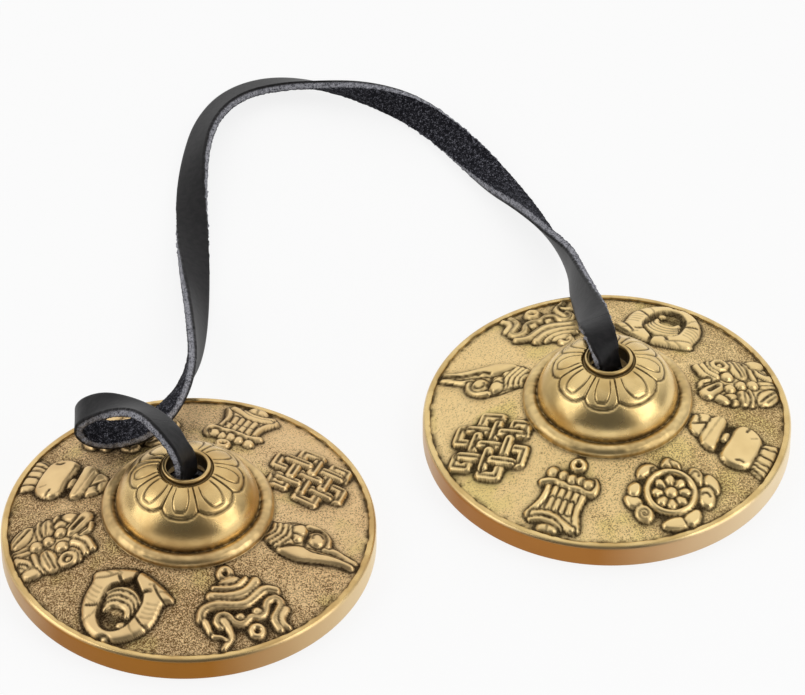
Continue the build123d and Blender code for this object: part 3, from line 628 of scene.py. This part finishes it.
def finish_field(field):
    """Emblems on a grainy ground, dark in cuts, in corners and along both edges with patina that also stands in for
    shade, and with painted shade round whole emblems.
    """
    x = field.r * np.cos(field.angle)
    y = field.r * np.sin(field.angle)
    height, dark_lines = field_relief(x, y)
    # Darkening in cuts, beside raised forms and round whole emblems, from blurred heights: patina, with painted shade
    # in the broad ring round each emblem.
    close = soften(height, 6)
    near = soften(close, 14)
    broad = soften(near, 30)
    low = np.clip(1 - height / 0.55, 0, 1)
    cavity = np.clip((close - height - 0.03) * 7.0, 0, 1)
    cavity = np.maximum(cavity, np.clip((near - height - 0.08) * 4.0, 0, 0.8) * low)
    cavity = np.clip(cavity + np.clip((broad - height - 0.03) * 1.6, 0, 0.4) * low, 0, 1)
    cavity = np.maximum(cavity, dark_lines * np.clip(0.6 + 0.7 * value_noise(x, y, 0.6, 9), 0, 1))
    bare = 1 - np.clip(height / 0.25, 0, 1)
    grain = value_noise(x, y, 0.55, 3) + 0.6 * value_noise(x, y, 0.3, 4) - 0.8
    edge_fade = np.clip((FIELD_RADIUS - field.r) / 0.5, 0, 1)
    foot_fade = np.clip((field.r - field.r[0]) / 0.6, 0, 1)
    rim_fade = np.clip(1 - (FIELD_RADIUS - field.r) / 1.1, 0, 1)
    rim_spots = np.clip(2.2 * value_noise(x, y, 0.7, 11) - 0.5, 0, 1)
    # Dark along the field's foot by the bead and its edge by the lip: patina in these corners that also stands in for
    # their shade, with dark spots by the lip.
    edges = 0.5 * (1 - foot_fade) + 0.6 * (1 - edge_fade) + 0.8 * rim_fade * rim_spots
    field.shift = (height + 0.09 * grain * bare) * edge_fade * np.maximum(foot_fade, 0.2)
    field.patina = np.clip(cavity + edges, 0, 1)
    field.ground = bare * edge_fade
    field.cast += edge_fade


def dome_cuts(radius, angle):
    """Depth of the engraved petals on the dome, for rings of radii by angles."""
    relief = Relief(radius * np.cos(angle), radius * np.sin(angle))

    def polar(stops):
        turns = [(r, math.radians(degrees)) for r, degrees in stops]
        return [(r * math.cos(turn), r * math.sin(turn)) for r, turn in turns]

    for left, right in zip(PETAL_EDGES, PETAL_EDGES[1:] + (PETAL_EDGES[0] + 360,)):
        middle = (left + right) / 2
        quarter = (right - left) / 4
        side = polar([(PETAL_START_RADIUS, left), (PETAL_CUSP_RADIUS, left)])
        tip = polar([
            (PETAL_CUSP_RADIUS, left),
            (PETAL_TIP_RADIUS + 0.1, left + 0.7 * quarter),
            (PETAL_TIP_RADIUS + 0.35, middle),
            (PETAL_TIP_RADIUS + 0.1, right - 0.7 * quarter),
            (PETAL_CUSP_RADIUS, right),
        ])
        half = ((5.2, 1.1), (7.2, 1.15), (8.9, 0.7))
        inner = [(r, middle - share * quarter) for r, share in half]
        inner += [(9.1, middle)] + [(r, middle + share * quarter) for r, share in half[::-1]]
        relief.groove(side, 0.36, 0.3, slope=PETAL_SLOPE)
        relief.groove(tip, 0.4, 0.3, slope=PETAL_SLOPE)
        relief.groove(polar(inner), 0.3, 0.24, slope=PETAL_SLOPE)
    return np.clip(relief.height, -0.34, 0)


def finish_dome(dome):
    """Petals whose dark lines are partly worn, and a spotty dark foot."""
    dome.shift = dome_cuts(dome.r, dome.angle)
    foot = np.clip(1 - (dome.z - DOME_FOOT_Z) / 1.3, 0, 1)
    spots = value_noise(dome.angle * DOME_RADIUS, dome.z, 0.5, 5)
    worn = 0.55 + 0.6 * value_noise(dome.angle * dome.r, dome.z, 1.2, 10)
    dome.patina = np.clip(-6.5 * dome.shift * worn + foot * (0.35 + 0.8 * spots), 0, 0.95)


def finish_bead(bead):
    """A dented bead, with spotty patina along its inner side and painted shade down its outer slope."""
    place = np.arange(bead.rows)[:, None] / (bead.rows - 1)
    around = bead.angle * BEAD_RADIUS
    dents = value_noise(around, 3.0 * place, 1.1, 6) - 0.5
    spots = value_noise(around, 3.0 * place, 0.5, 7)
    # Dark at the inner side is patina; the lighter dark on the outer slope is painted shade.
    dark = np.clip(1 - place / 0.3, 0, 1) + 0.4 * np.clip((place - 0.72) / 0.28, 0, 1)
    bead.shift = 0.12 * dents * np.sin(math.pi * place)
    bead.patina = np.clip(dark * (0.45 + 0.8 * spots) + 0.12 + 0.3 * (spots - 0.35), 0, 1)
    bead.cast += 0.4


def finish_lip(lip, shaded_side):
    """A lip dented along its inner edge, and a side band with painted shade, brown towards one side, in place of a
    darker reflection there.
    """
    dents = np.maximum(value_noise(lip.angle * RIM_RADIUS, 0.0, 0.9, 8) - 0.5, 0)
    inner = np.clip(1 - (lip.r - FIELD_RADIUS) / 0.5, 0, 1)
    # Painted shade: the side band turns brown round the shaded side, standing in for the darker reflection it shows
    # there.
    facing = 0.5 + 0.5 * np.cos(lip.angle - math.radians(shaded_side))
    lip.side_band += np.clip((lip.r - RIM_RADIUS + 0.35) / 0.3, 0, 1)
    lip.side_tone = lip.side_band * np.clip(1.15 * facing**3, 0, 1)
    lip.shift = -0.35 * inner * dents
    lip.patina = np.clip(1.6 * inner * dents, 0, 1)


def stitch(first, first_count, second, second_count):
    """Faces between two neighbouring rings, whose counts are the same or one twice the other."""
    if first_count > second_count:
        return [face[::-1] for face in stitch(second, second_count, first, first_count)]
    faces = []
    for i in range(first_count):
        j = (i + 1) % first_count
        if first_count == second_count:
            faces.append((first + i, second + i, second + j, first + j))
        else:
            k = 2 * i
            last = (k + 2) % second_count
            faces.append((first + i, second + k, second + k + 1))
            faces.append((first + i, second + k + 1, second + last, first + j))
    return faces


def put(name, data):
    """A new object in the scene."""
    holder = bpy.data.objects.new(name, data)
    bpy.context.scene.collection.objects.link(holder)
    return holder


def make_piece(name, points, faces, stored, material):
    """A smooth mesh from points in millimetres, with values stored at each point."""
    mesh = bpy.data.meshes.new(name)
    mesh.from_pydata((points * MM).tolist(), [], faces)
    for label, values in stored.items():
        layer = mesh.attributes.new(label, "FLOAT", "POINT")
        layer.data.foreach_set("value", values.astype(np.float32))
    mesh.shade_smooth()
    mesh.materials.append(material)
    return put(name, mesh)


def make_casting(name, centre_x, turn, shaded_side, lighter_side, brownness, material):
    """One cymbal as a closed mesh, with its patina and painted shade, ground and finish stored at each point."""
    profile = make_profile()
    zones = {label: Zone(points, RING_COUNTS.get(label, DOME_COUNT)) for label, points in profile.items()}
    finish_field(zones["field"])
    finish_dome(zones["dome"])
    finish_bead(zones["bead"])
    finish_lip(zones["lip"], shaded_side)
    hole = zones["hole"]
    # Painted shade: dark inside the hole below the collar and high in the dome's hollow.
    hole.patina += np.where(hole.z < COLLAR_TOP - 0.45, 0.85, 0.15)
    back = zones["back"]
    back.patina += 0.95 * np.clip((back.z - 5.5) / 1.5, 0, 1)

    along = np.gradient(np.concatenate(list(profile.values())), axis=0)[:, :, None]
    along /= np.hypot(along[:, :1], along[:, 1:])
    points = []
    ring_counts = []
    for zone in zones.values():
        # The ground is browner by brownness, and lighter towards the lighter side, the more so nearer the rim.
        lighter = np.cos(zone.angle + math.radians(turn - lighter_side))
        zone.tarnish = brownness - 0.5 * np.minimum(zone.r / FIELD_RADIUS, 1) ** 2 * lighter
        here = along[len(ring_counts) : len(ring_counts) + zone.rows]
        radius = zone.r - zone.shift * here[:, 1]
        level = zone.z + zone.shift * here[:, 0]
        turns = zone.angle + math.radians(turn)
        place = np.stack([centre_x + radius * np.cos(turns), radius * np.sin(turns), level], axis=2)
        points.append(place.reshape(-1, 3))
        ring_counts += [zone.count] * zone.rows
    starts = np.cumsum([0] + ring_counts).tolist()
    faces = []
    for index, count in enumerate(ring_counts):
        after = (index + 1) % len(ring_counts)
        faces += stitch(starts[index], count, starts[after], ring_counts[after])
    stored = {label: np.concatenate([getattr(zone, label).ravel() for zone in zones.values()]) for label in STORED}
    return make_piece(name, np.concatenate(points), faces, stored, material)


# Materials

class Nodes:
    """Small helper that adds and links shader nodes."""

    def __init__(self, owner, shader="Principled BSDF"):
        owner.use_nodes = True
        self.owner = owner
        self.tree = owner.node_tree
        self.shader = self.tree.nodes[shader]

    def set(self, node, **inputs):
        """Link or set inputs, named with _ for a space or as i and a number. A tuple is a colour."""
        for key, value in inputs.items():
            numbered = key[0] == "i" and key[1:].isdigit()
            socket = node.inputs[int(key[1:]) if numbered else key.replace("_", " ")]
            if isinstance(value, bpy.types.NodeSocket):
                self.tree.links.new(value, socket)
            else:
                socket.default_value = (*value, 1.0) if isinstance(value, tuple) else value

    def add(self, kind, **inputs):
        node = self.tree.nodes.new(kind)
        self.set(node, **inputs)
        return node

    def attribute(self, name):
        node = self.add("ShaderNodeAttribute")
        node.attribute_name = name
        return node.outputs["Fac"]

    def noise(self, scale, detail, rough=0.5):
        place = self.add("ShaderNodeTexCoord").outputs["Object"]
        node = self.add("ShaderNodeTexNoise", Scale=scale, Detail=detail, Roughness=rough, Vector=place)
        return node.outputs["Fac"]

    def math(self, operation, a, b, clamp=False):
        node = self.add("ShaderNodeMath", i0=a, i1=b)
        node.operation = operation
        node.use_clamp = clamp
        return node.outputs[0]

    def times(self, a, b, clamp=False):
        return self.math("MULTIPLY", a, b, clamp)

    def plus(self, total, value, factor, clamp=False):
        """The total with a value times a factor added."""
        return self.math("ADD", total, self.times(value, factor), clamp)

    def spread(self, value, low, high, to_low=0.0, to_high=1.0):
        node = self.add("ShaderNodeMapRange", i0=value, i1=low, i2=high, i3=to_low, i4=to_high)
        node.interpolation_type = "SMOOTHSTEP"
        return node.outputs[0]

    def mix(self, share, a, b):
        node = self.add("ShaderNodeMix")
        node.data_type = "RGBA"
        self.set(node, i0=share, i6=a, i7=b)
        return node.outputs[2]

    def bump(self, height, strength, distance):
        return self.add("ShaderNodeBump", Strength=strength, Distance=distance, Height=height).outputs["Normal"]


def antique_brass(name, polished, worn, ground_light, olive, ground_dark, crevice, side, side_shade):
    """Cast brass: bright where hands have polished it, brown and grainy on the ground, dark with patina and painted
    shade in cuts and hollows, with painted shade on one side of the side band.
    """
    nodes = Nodes(bpy.data.materials.new(name))
    patina, ground, cast, band, tone, tarnish = (nodes.attribute(label) for label in STORED)
    broad = nodes.noise(160.0, 3.0)
    fine = nodes.noise(3300.0, 3.0, 0.6)
    grain = nodes.noise(6500.0, 2.0, 0.6)
    metal = nodes.mix(nodes.spread(broad, 0.35, 0.68), polished, worn)
    speckle = nodes.plus(nodes.times(fine, 0.55), grain, 0.45)
    clouds = nodes.plus(nodes.times(broad, 0.5), tarnish, 0.5)
    brown = nodes.spread(clouds, 0.25, 0.75)
    light_at = nodes.spread(brown, 0.0, 1.0, 0.485, 0.58)
    dark_at = nodes.math("SUBTRACT", light_at, 0.13)
    light = nodes.mix(nodes.spread(nodes.noise(110.0, 2.0), 0.5, 0.66, 0.0, 0.8), ground_light, olive)
    floor = nodes.mix(nodes.spread(speckle, dark_at, light_at), ground_dark, light)
    metal = nodes.mix(nodes.times(cast, 0.55), metal, ground_light)
    base = nodes.mix(ground, metal, floor)
    # The side band: its own colour, turned brown towards one side by painted shade.
    base = nodes.mix(band, base, nodes.mix(tone, side, side_shade))
    # Patina and painted shade darken the colour towards the crevice colour.
    patina_shade_share = nodes.times(patina, nodes.spread(speckle, 0.3, 0.62, 1.0, 0.85), clamp=True)
    base = nodes.mix(patina_shade_share, base, crevice)
    rough = nodes.spread(broad, 0.3, 0.7, 0.22, 0.32)
    for value, factor in ((cast, 0.1), (ground, 0.12), (band, 0.12)):
        rough = nodes.plus(rough, value, factor)
    rough = nodes.plus(rough, patina, 0.25, clamp=True)
    pits = nodes.times(nodes.math("SUBTRACT", speckle, 0.5), nodes.math("ADD", ground, 0.06))
    relief = nodes.bump(pits, 0.7, 0.0004)
    nodes.set(nodes.shader, Base_Color=base, Metallic=1.0, Roughness=rough, Normal=relief)
    return nodes.owner


brass_left = antique_brass(
    "brass_left",
    polished=(0.8, 0.57, 0.25),
    worn=(0.58, 0.38, 0.15),
    ground_light=(0.92, 0.67, 0.36),
    olive=(0.8, 0.62, 0.26),
    ground_dark=(0.19, 0.105, 0.04),
    crevice=(0.022, 0.011, 0.0045),
    side=(0.93, 0.74, 0.42),
    side_shade=(0.335, 0.135, 0.02),
)
brass_right = antique_brass(
    "brass_right",
    polished=(0.84, 0.62, 0.28),
    worn=(0.62, 0.43, 0.17),
    ground_light=(1.0, 0.76, 0.38),
    olive=(0.92, 0.74, 0.3),
    ground_dark=(0.3, 0.19, 0.075),
    crevice=(0.028, 0.0145, 0.0055),
    side=(0.96, 0.79, 0.5),
    side_shade=(0.385, 0.16, 0.035),
)

# Node, axis, turn of the pattern, direction of the side band's painted shade and of the ground's lighter side, and
# how brown the ground is
for name, centre_x, turn, shaded_side, lighter_side, brownness, material, slot in (
    ("left_cymbal", -HOLE_X, LEFT_TURN, 74, 25, 0.62, brass_left, "left_brass"),
    ("right_cymbal", HOLE_X, RIGHT_TURN, -119, 165, 0.4, brass_right, "right_brass"),
):
    casting = make_casting(f"{name}_casting", centre_x, turn, shaded_side, lighter_side, brownness, material)
    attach(casting, name)
    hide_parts(name)


# The strap, in millimetres

STRAP_WIDTH = 5.7
STRAP_THICKNESS = 1.6
STRAP_END_WIDTH = 4.7
SHANK_LENGTH = 12.5
KNOT_TOP = 16.02
KNOT_BAND = 4.0
KNOT_THICKNESS = 1.3
# Points across a face and through a cut edge, and how far the edge's fibres and the nap stand out
ACROSS_COUNT = 14
EDGE_COUNT = 4
EDGE_ROUND = 0.1
RAGGED = 0.55
NAP = 0.2
# Stations between two control points, from each end until the fibres are full, and between points of the stated path
STRAP_STEPS = 36
KNOT_STEPS = 14
FADE_STATIONS = 3
# Where a stretch of strap is this near to upright, its left is taken from Y
UPRIGHT = 0.2
# The knots: how far their smooth face looks up, and their turns about the axes in degrees
KNOT_LEAN = 0.15
LEFT_KNOT_TURN = 50
RIGHT_KNOT_TURN = 102
# x, y, z of the strap's middle line, and the roll of its smooth face in degrees
STRAP_ROUTE = [
    (-HOLE_X, 0, KNOT_TOP, -40), (-HOLE_X, 0, 19.2, -40), (-39.8, 0.4, 22.4, -26), (-40.8, 3, 24.2, -30),
    (-41.6, 7, 24, -31), (-42.7, 11.8, 22.3, -27), (-44.9, 17, 19.6, -12), (-48, 20.4, 17.8, 8),
    (-51, 22.2, 15.4, 15), (-51.2, 23, 11.8, 170), (-48.6, 21.9, 9.8, -184), (-44.6, 20.4, 9.7, -180),
    (-40.4, 19.8, 10.3, -170), (-36.6, 20.8, 11.4, -152), (-33.2, 23.8, 11.6, -134), (-30, 28.6, 10.2, -118),
    (-26.7, 34.6, 8, -97), (-23.6, 41.6, 5.6, -77), (-20.4, 50.4, 3.7, -60), (-16.8, 62, 2.5, -36),
    (-13.2, 74, 1.6, -4), (-9.8, 84.6, 2.1, 24), (-5.6, 94.4, 2.8, 42), (-0.4, 102.8, 2.7, 38),
    (6.6, 108.2, 2.4, 28), (14.8, 108.6, 2.4, 26), (23.2, 104.2, 2.9, 44), (30.8, 98.2, 3.3, 78),
    (37.2, 90.4, 3.2, 116), (41.4, 80, 2.5, 147), (44.6, 68.4, 1.6, 185), (46.6, 57.4, 2.9, 222),
    (47.8, 47.4, 3.6, 245), (47.6, 39, 5.6, 268), (45.3, 30.6, 8.8, 285), (43.2, 21.4, 12.6, 304),
    (41, 12.8, 17.4, 328), (39.3, 7.4, 20.6, 346), (38.6, 3.6, 21.8, 358), (38.4, 1, 20.8, 366),
    (38.5, -0.2, 18.8, 370), (HOLE_X, 0, KNOT_TOP, 370),
]

# Overhand knot inside each dome: place about the axis and height, and which way its smooth face looks
KNOT_ROUTE = (
    (0, 0, KNOT_TOP, 0), (0, 0, 14.6, 0), (-1.4, -1.2, 13.4, 215), (-3.7, -0.7, 12.6, 190),
    (-3.6, 2.4, 12.2, 145), (-0.4, 4.3, 12.1, 95), (3.3, 2.9, 12.3, 40), (4.2, -0.7, 12.6, -10),
    (2.2, -3.4, 12.4, -60), (-0.7, -3, 11.8, -115), (-1.8, -1, 11.2, -165), (-1.3, 0.9, 10.6, -215),
    (0.3, 1.4, 10, -275), (1.3, 0.3, 9.2, -340), (0.8, -0.8, 8, -400), (0.3, -0.2, 6, -420),
    (0.6, 0.2, 4.4, -420),
)


def spline_points(points, steps):
    """Points along the smooth spline that has these control points, in millimetres."""
    curve = bpy.data.curves.new("route", "CURVE")
    curve.dimensions = "3D"
    spline = curve.splines.new("NURBS")
    spline.points.add(len(points) - 1)
    for target, point in zip(spline.points, points):
        target.co = (*point, 1.0)
    spline.order_u = 3
    spline.use_endpoint_u = True
    spline.resolution_u = steps
    holder = bpy.data.objects.new("route", curve)
    mesh = bpy.data.meshes.new_from_object(holder)
    line = np.array([vertex.co for vertex in mesh.vertices])
    bpy.data.objects.remove(holder)
    bpy.data.curves.remove(curve)
    bpy.data.meshes.remove(mesh)
    return line


def frames_along(points, faces, steps):
    """Stations along a strap, from control points and the way its smooth face looks: line, face and width."""
    line = spline_points(points, steps)
    face = spline_points(points + faces, steps) - line
    along = np.gradient(line, axis=0)
    along /= np.linalg.norm(along, axis=1)[:, None]
    face -= (face * along).sum(axis=1)[:, None] * along
    face /= np.linalg.norm(face, axis=1)[:, None]
    return line, face, np.cross(face, along)


def strap_frames(route):
    """Stations along the strap, whose smooth face is rolled about its line."""
    points = np.array([stop[:3] for stop in route])
    ahead = np.concatenate([points[1:], points[-1:]])
    behind = np.concatenate([points[:1], points[:-1]])
    faces = []
    for along, stop in zip(ahead - behind, route):
        along = along / np.linalg.norm(along)
        left = np.cross((0, 0, 1), along)
        if np.linalg.norm(left) < UPRIGHT:
            left = np.cross(along, (0, 1, 0))
        left /= np.linalg.norm(left)
        roll = math.radians(stop[3])
        faces.append(np.cross(along, left) * math.cos(roll) + left * math.sin(roll))
    return frames_along(points, np.array(faces), STRAP_STEPS)


def knot_frames(centre_x, turn):
    """Stations along a knot, turned about the dome's axis."""
    spin = math.radians(turn)
    points = []
    faces = []
    for x, y, z, look in KNOT_ROUTE:
        turned_x = x * math.cos(spin) - y * math.sin(spin)
        points.append((centre_x + turned_x, x * math.sin(spin) + y * math.cos(spin), z))
        look = math.radians(look + turn)
        faces.append((math.cos(look), math.sin(look), KNOT_LEAN))
    return frames_along(np.array(points), np.array(faces), KNOT_STEPS)


def distances_along(line):
    """Distance of each station from the first one."""
    return np.concatenate([[0], np.cumsum(np.linalg.norm(np.diff(line, axis=0), axis=1))])


def strap_section(wide, thick):
    """Outline of the strap's section: places across it and through it, smooth face share and cut edge share."""
    across = np.linspace(-1, 1, ACROSS_COUNT)
    through = np.linspace(-1, 1, EDGE_COUNT + 2)[1:-1]
    half_w = wide / 2
    half_t = thick / 2
    outline = []
    for side in (1, -1):
        outline += [(side * w * (half_w - EDGE_ROUND), side * half_t, 0.5 + 0.5 * side, 0.0) for w in across]
        outline += [(side * half_w, -side * t * half_t, 0.5 - 0.5 * side * t, 1.0) for t in through]
    return outline


def make_strip(name, frames, wide, thick, share):
    """A stretch of strap as a closed mesh, with ragged cut edges and a rough under face.

    share gives the width at each station as a share of the full one.
    """
    line, face, width = frames
    section = strap_section(wide, thick)
    ring = len(section)
    stations = len(line)
    distance = distances_along(line) + line[0, 0]
    order = np.arange(stations)
    fade = np.clip(np.minimum(order, order[::-1]) / FADE_STATIONS, 0, 1)
    points = []
    for w, t, grain, edge in section:
        ragged = value_noise(distance, 40 + 2.0 * t + w, 0.3, 11) - 0.5
        ragged += 0.8 * (value_noise(distance, 70 + 0.5 * w, 0.8, 13) - 0.5)
        nap = value_noise(distance, 2.0 * w, 0.4, 12) - 0.5
        loose = 1.15 - 0.85 * grain
        reach = w * share + math.copysign(1, w) * RAGGED * ragged * edge * loose * fade
        depth = t - NAP * nap * (1 - grain) * (1 - edge) * fade
        points.append(line + width * reach[:, None] + face * depth[:, None])
    faces = []
    for start in range(0, (stations - 1) * ring, ring):
        for k in range(ring):
            n = (k + 1) % ring
            faces.append((start + k, start + ring + k, start + ring + n, start + n))
    faces.append(tuple(range(ring)))
    faces.append(tuple(range(stations * ring - 1, (stations - 1) * ring - 1, -1)))
    stored = {
        "grain_side": np.tile([grain for _, _, grain, _ in section], stations),
        "cut_edge": np.tile([edge for _, _, _, edge in section], stations),
    }
    piece = make_piece(name, np.stack(points, axis=1).reshape(-1, 3), faces, stored, leather)
    return piece


def black_leather():
    """Black leather: smooth and faintly creased on the grain side, speckled suede behind, grey fibres at the cuts."""
    nodes = Nodes(bpy.data.materials.new("black_leather"))
    grain_side = nodes.attribute("grain_side")
    cut_edge = nodes.attribute("cut_edge")
    fleck = nodes.noise(5000.0, 2.0, 0.6)
    tuft = nodes.noise(1500.0, 3.0, 0.65)
    crease = nodes.noise(900.0, 4.0, 0.55)
    smooth_skin = nodes.mix(nodes.spread(crease, 0.3, 0.7), (0.004, 0.004, 0.0045), (0.012, 0.0105, 0.0115))
    nap_mix = nodes.plus(nodes.times(fleck, 0.6), tuft, 0.4)
    suede = nodes.mix(nodes.spread(nap_mix, 0.5, 0.68), (0.008, 0.008, 0.011), (0.24, 0.24, 0.28))
    fibres = nodes.mix(nodes.spread(nap_mix, 0.36, 0.6), (0.05, 0.05, 0.06), (0.46, 0.46, 0.5))
    smooth = nodes.spread(grain_side, 0.3, 0.7)
    body = nodes.mix(smooth, suede, smooth_skin)
    cut = nodes.times(cut_edge, nodes.spread(grain_side, 0.55, 0.85, 1.0, 0.0))
    smooth_share = nodes.times(smooth, nodes.math("SUBTRACT", 1.0, cut))
    height = nodes.times(nap_mix, nodes.spread(smooth_share, 0.0, 1.0, 1.0, 0.0))
    height = nodes.plus(height, crease, 0.3)
    nodes.set(
        nodes.shader,
        Base_Color=nodes.mix(cut, body, fibres),
        Roughness=nodes.spread(smooth_share, 0.0, 1.0, 0.95, 0.45),
        Specular_IOR_Level=nodes.spread(smooth_share, 0.0, 1.0, 0.1, 0.2),
        Normal=nodes.bump(height, 0.7, 0.0002),
    )
    return nodes.owner


leather = black_leather()
frames = strap_frames(STRAP_ROUTE)
distances = distances_along(frames[0])
left_cut = int(np.searchsorted(distances, SHANK_LENGTH))
right_cut = int(np.searchsorted(distances, distances[-1] - SHANK_LENGTH))
from_knot = np.minimum(distances, distances[-1] - distances)
narrow = STRAP_END_WIDTH / STRAP_WIDTH
width_share = narrow + (1 - narrow) * np.clip(from_knot / SHANK_LENGTH, 0, 1)


def make_stretch(name, first, last):
    """The part of the strap from one station to another."""
    part = tuple(values[first : last + 1] for values in frames)
    return make_strip(name, part, STRAP_WIDTH, STRAP_THICKNESS, width_share[first : last + 1])


strap = make_stretch("leather_strap", left_cut, right_cut)
left_shank = make_stretch("left_strap_bend", 0, left_cut)
right_shank = make_stretch("right_strap_bend", right_cut, len(distances) - 1)
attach(strap, "strap")
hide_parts("strap")
for piece, side, cut, x in ((left_shank, "left", left_cut, -HOLE_X), (right_shank, "right", right_cut, HOLE_X)):
    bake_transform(piece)
    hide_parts(f"{side}_strap_shank")

left_knot = make_strip("left_knot", knot_frames(-HOLE_X, LEFT_KNOT_TURN), KNOT_BAND, KNOT_THICKNESS, 1.0)
right_knot = make_strip("right_knot", knot_frames(HOLE_X, RIGHT_KNOT_TURN), KNOT_BAND, KNOT_THICKNESS, 1.0)
for piece, side in ((left_knot, "left"), (right_knot, "right")):
    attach(piece, f"{side}_strap_end")
    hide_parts(f"{side}_strap_knot")


# Stage, lamps and camera, in metres

FLOOR_HALF = 3.0
FLOOR_Z = -0.05 * MM
# Share of the floor's white that is its own where the camera or a reflection sees it, so that shadows stay pale
FLOOR_GLOW = 0.84
# Direction of the bright wall
BRIGHT_SIDE = (0.26, 0.71, 0.65)
LAMP_AIM = (0.0, 0.02, 0.0)
LAMP_SIZE = (0.6, 0.84)


def make_floor():
    """A white floor."""
    mesh = bpy.data.meshes.new("floor")
    corners = [(x * FLOOR_HALF, y * FLOOR_HALF, FLOOR_Z) for x, y in ((-1, -1), (1, -1), (1, 1), (-1, 1))]
    mesh.from_pydata(corners, [], [(0, 1, 2, 3)])
    nodes = Nodes(bpy.data.materials.new("floor"))
    nodes.set(nodes.shader, Base_Color=(0.95, 0.95, 0.95), Roughness=0.9)
    rays = nodes.add("ShaderNodeLightPath").outputs
    seen = nodes.math("MAXIMUM", rays["Is Camera Ray"], rays["Is Glossy Ray"])
    seen = nodes.math("MAXIMUM", seen, rays["Is Transmission Ray"])
    white = nodes.add("ShaderNodeEmission", Color=(1.0, 1.0, 1.0), Strength=1.0)
    mixed = nodes.add(
        "ShaderNodeMixShader", i0=nodes.times(seen, FLOOR_GLOW), i1=nodes.shader.outputs[0], i2=white.outputs[0]
    )
    nodes.set(nodes.tree.nodes["Material Output"], Surface=mixed.outputs[0])
    mesh.materials.append(nodes.owner)
    floor = put("floor", mesh)


def make_world():
    """Soft studio: a pale wall behind and above, darker towards the front."""
    world = bpy.data.worlds.new("studio")
    nodes = Nodes(world, "Background")
    toward = nodes.add("ShaderNodeVectorMath", i0=nodes.add("ShaderNodeTexCoord").outputs["Generated"])
    toward.operation = "DOT_PRODUCT"
    toward.inputs[1].default_value = BRIGHT_SIDE
    strength = nodes.spread(toward.outputs["Value"], -0.1, 0.85, 0.12, 0.95)
    nodes.set(nodes.shader, Color=(1.0, 1.0, 1.0), Strength=strength)
    bpy.context.scene.world = world


def put_aimed(name, data, place, aim):
    """A lamp or camera at a place, looking at its aim."""
    holder = put(name, data)
    holder.location = place
    holder.rotation_euler = (Vector(aim) - Vector(place)).to_track_quat("-Z", "Y").to_euler()
    return holder


def area_lamp(name, place, watts):
    lamp = bpy.data.lights.new(name, "AREA")
    lamp.shape = "RECTANGLE"
    lamp.size, lamp.size_y = LAMP_SIZE
    lamp.energy = watts
    put_aimed(name, lamp, place, LAMP_AIM)


def make_camera():
    """Camera fitted to the circles of both cymbals in the photograph."""
    camera = bpy.data.cameras.new("camera")
    camera.lens = 255.39
    camera.sensor_width = 36.0
    place = Vector((-247.5, -670.6, 700.1)) * MM
    aim = Vector((13.09, 34.04, 0.0)) * MM
    bpy.context.scene.camera = put_aimed("camera", camera, place, aim)


make_floor()
make_world()
area_lamp("left_softbox", (-0.806, 0.074, 0.395), 2.3)
area_lamp("right_softbox", (0.598, -0.545, 0.395), 2.9)
make_camera()
bpy.context.scene.view_settings.view_transform = "Standard"
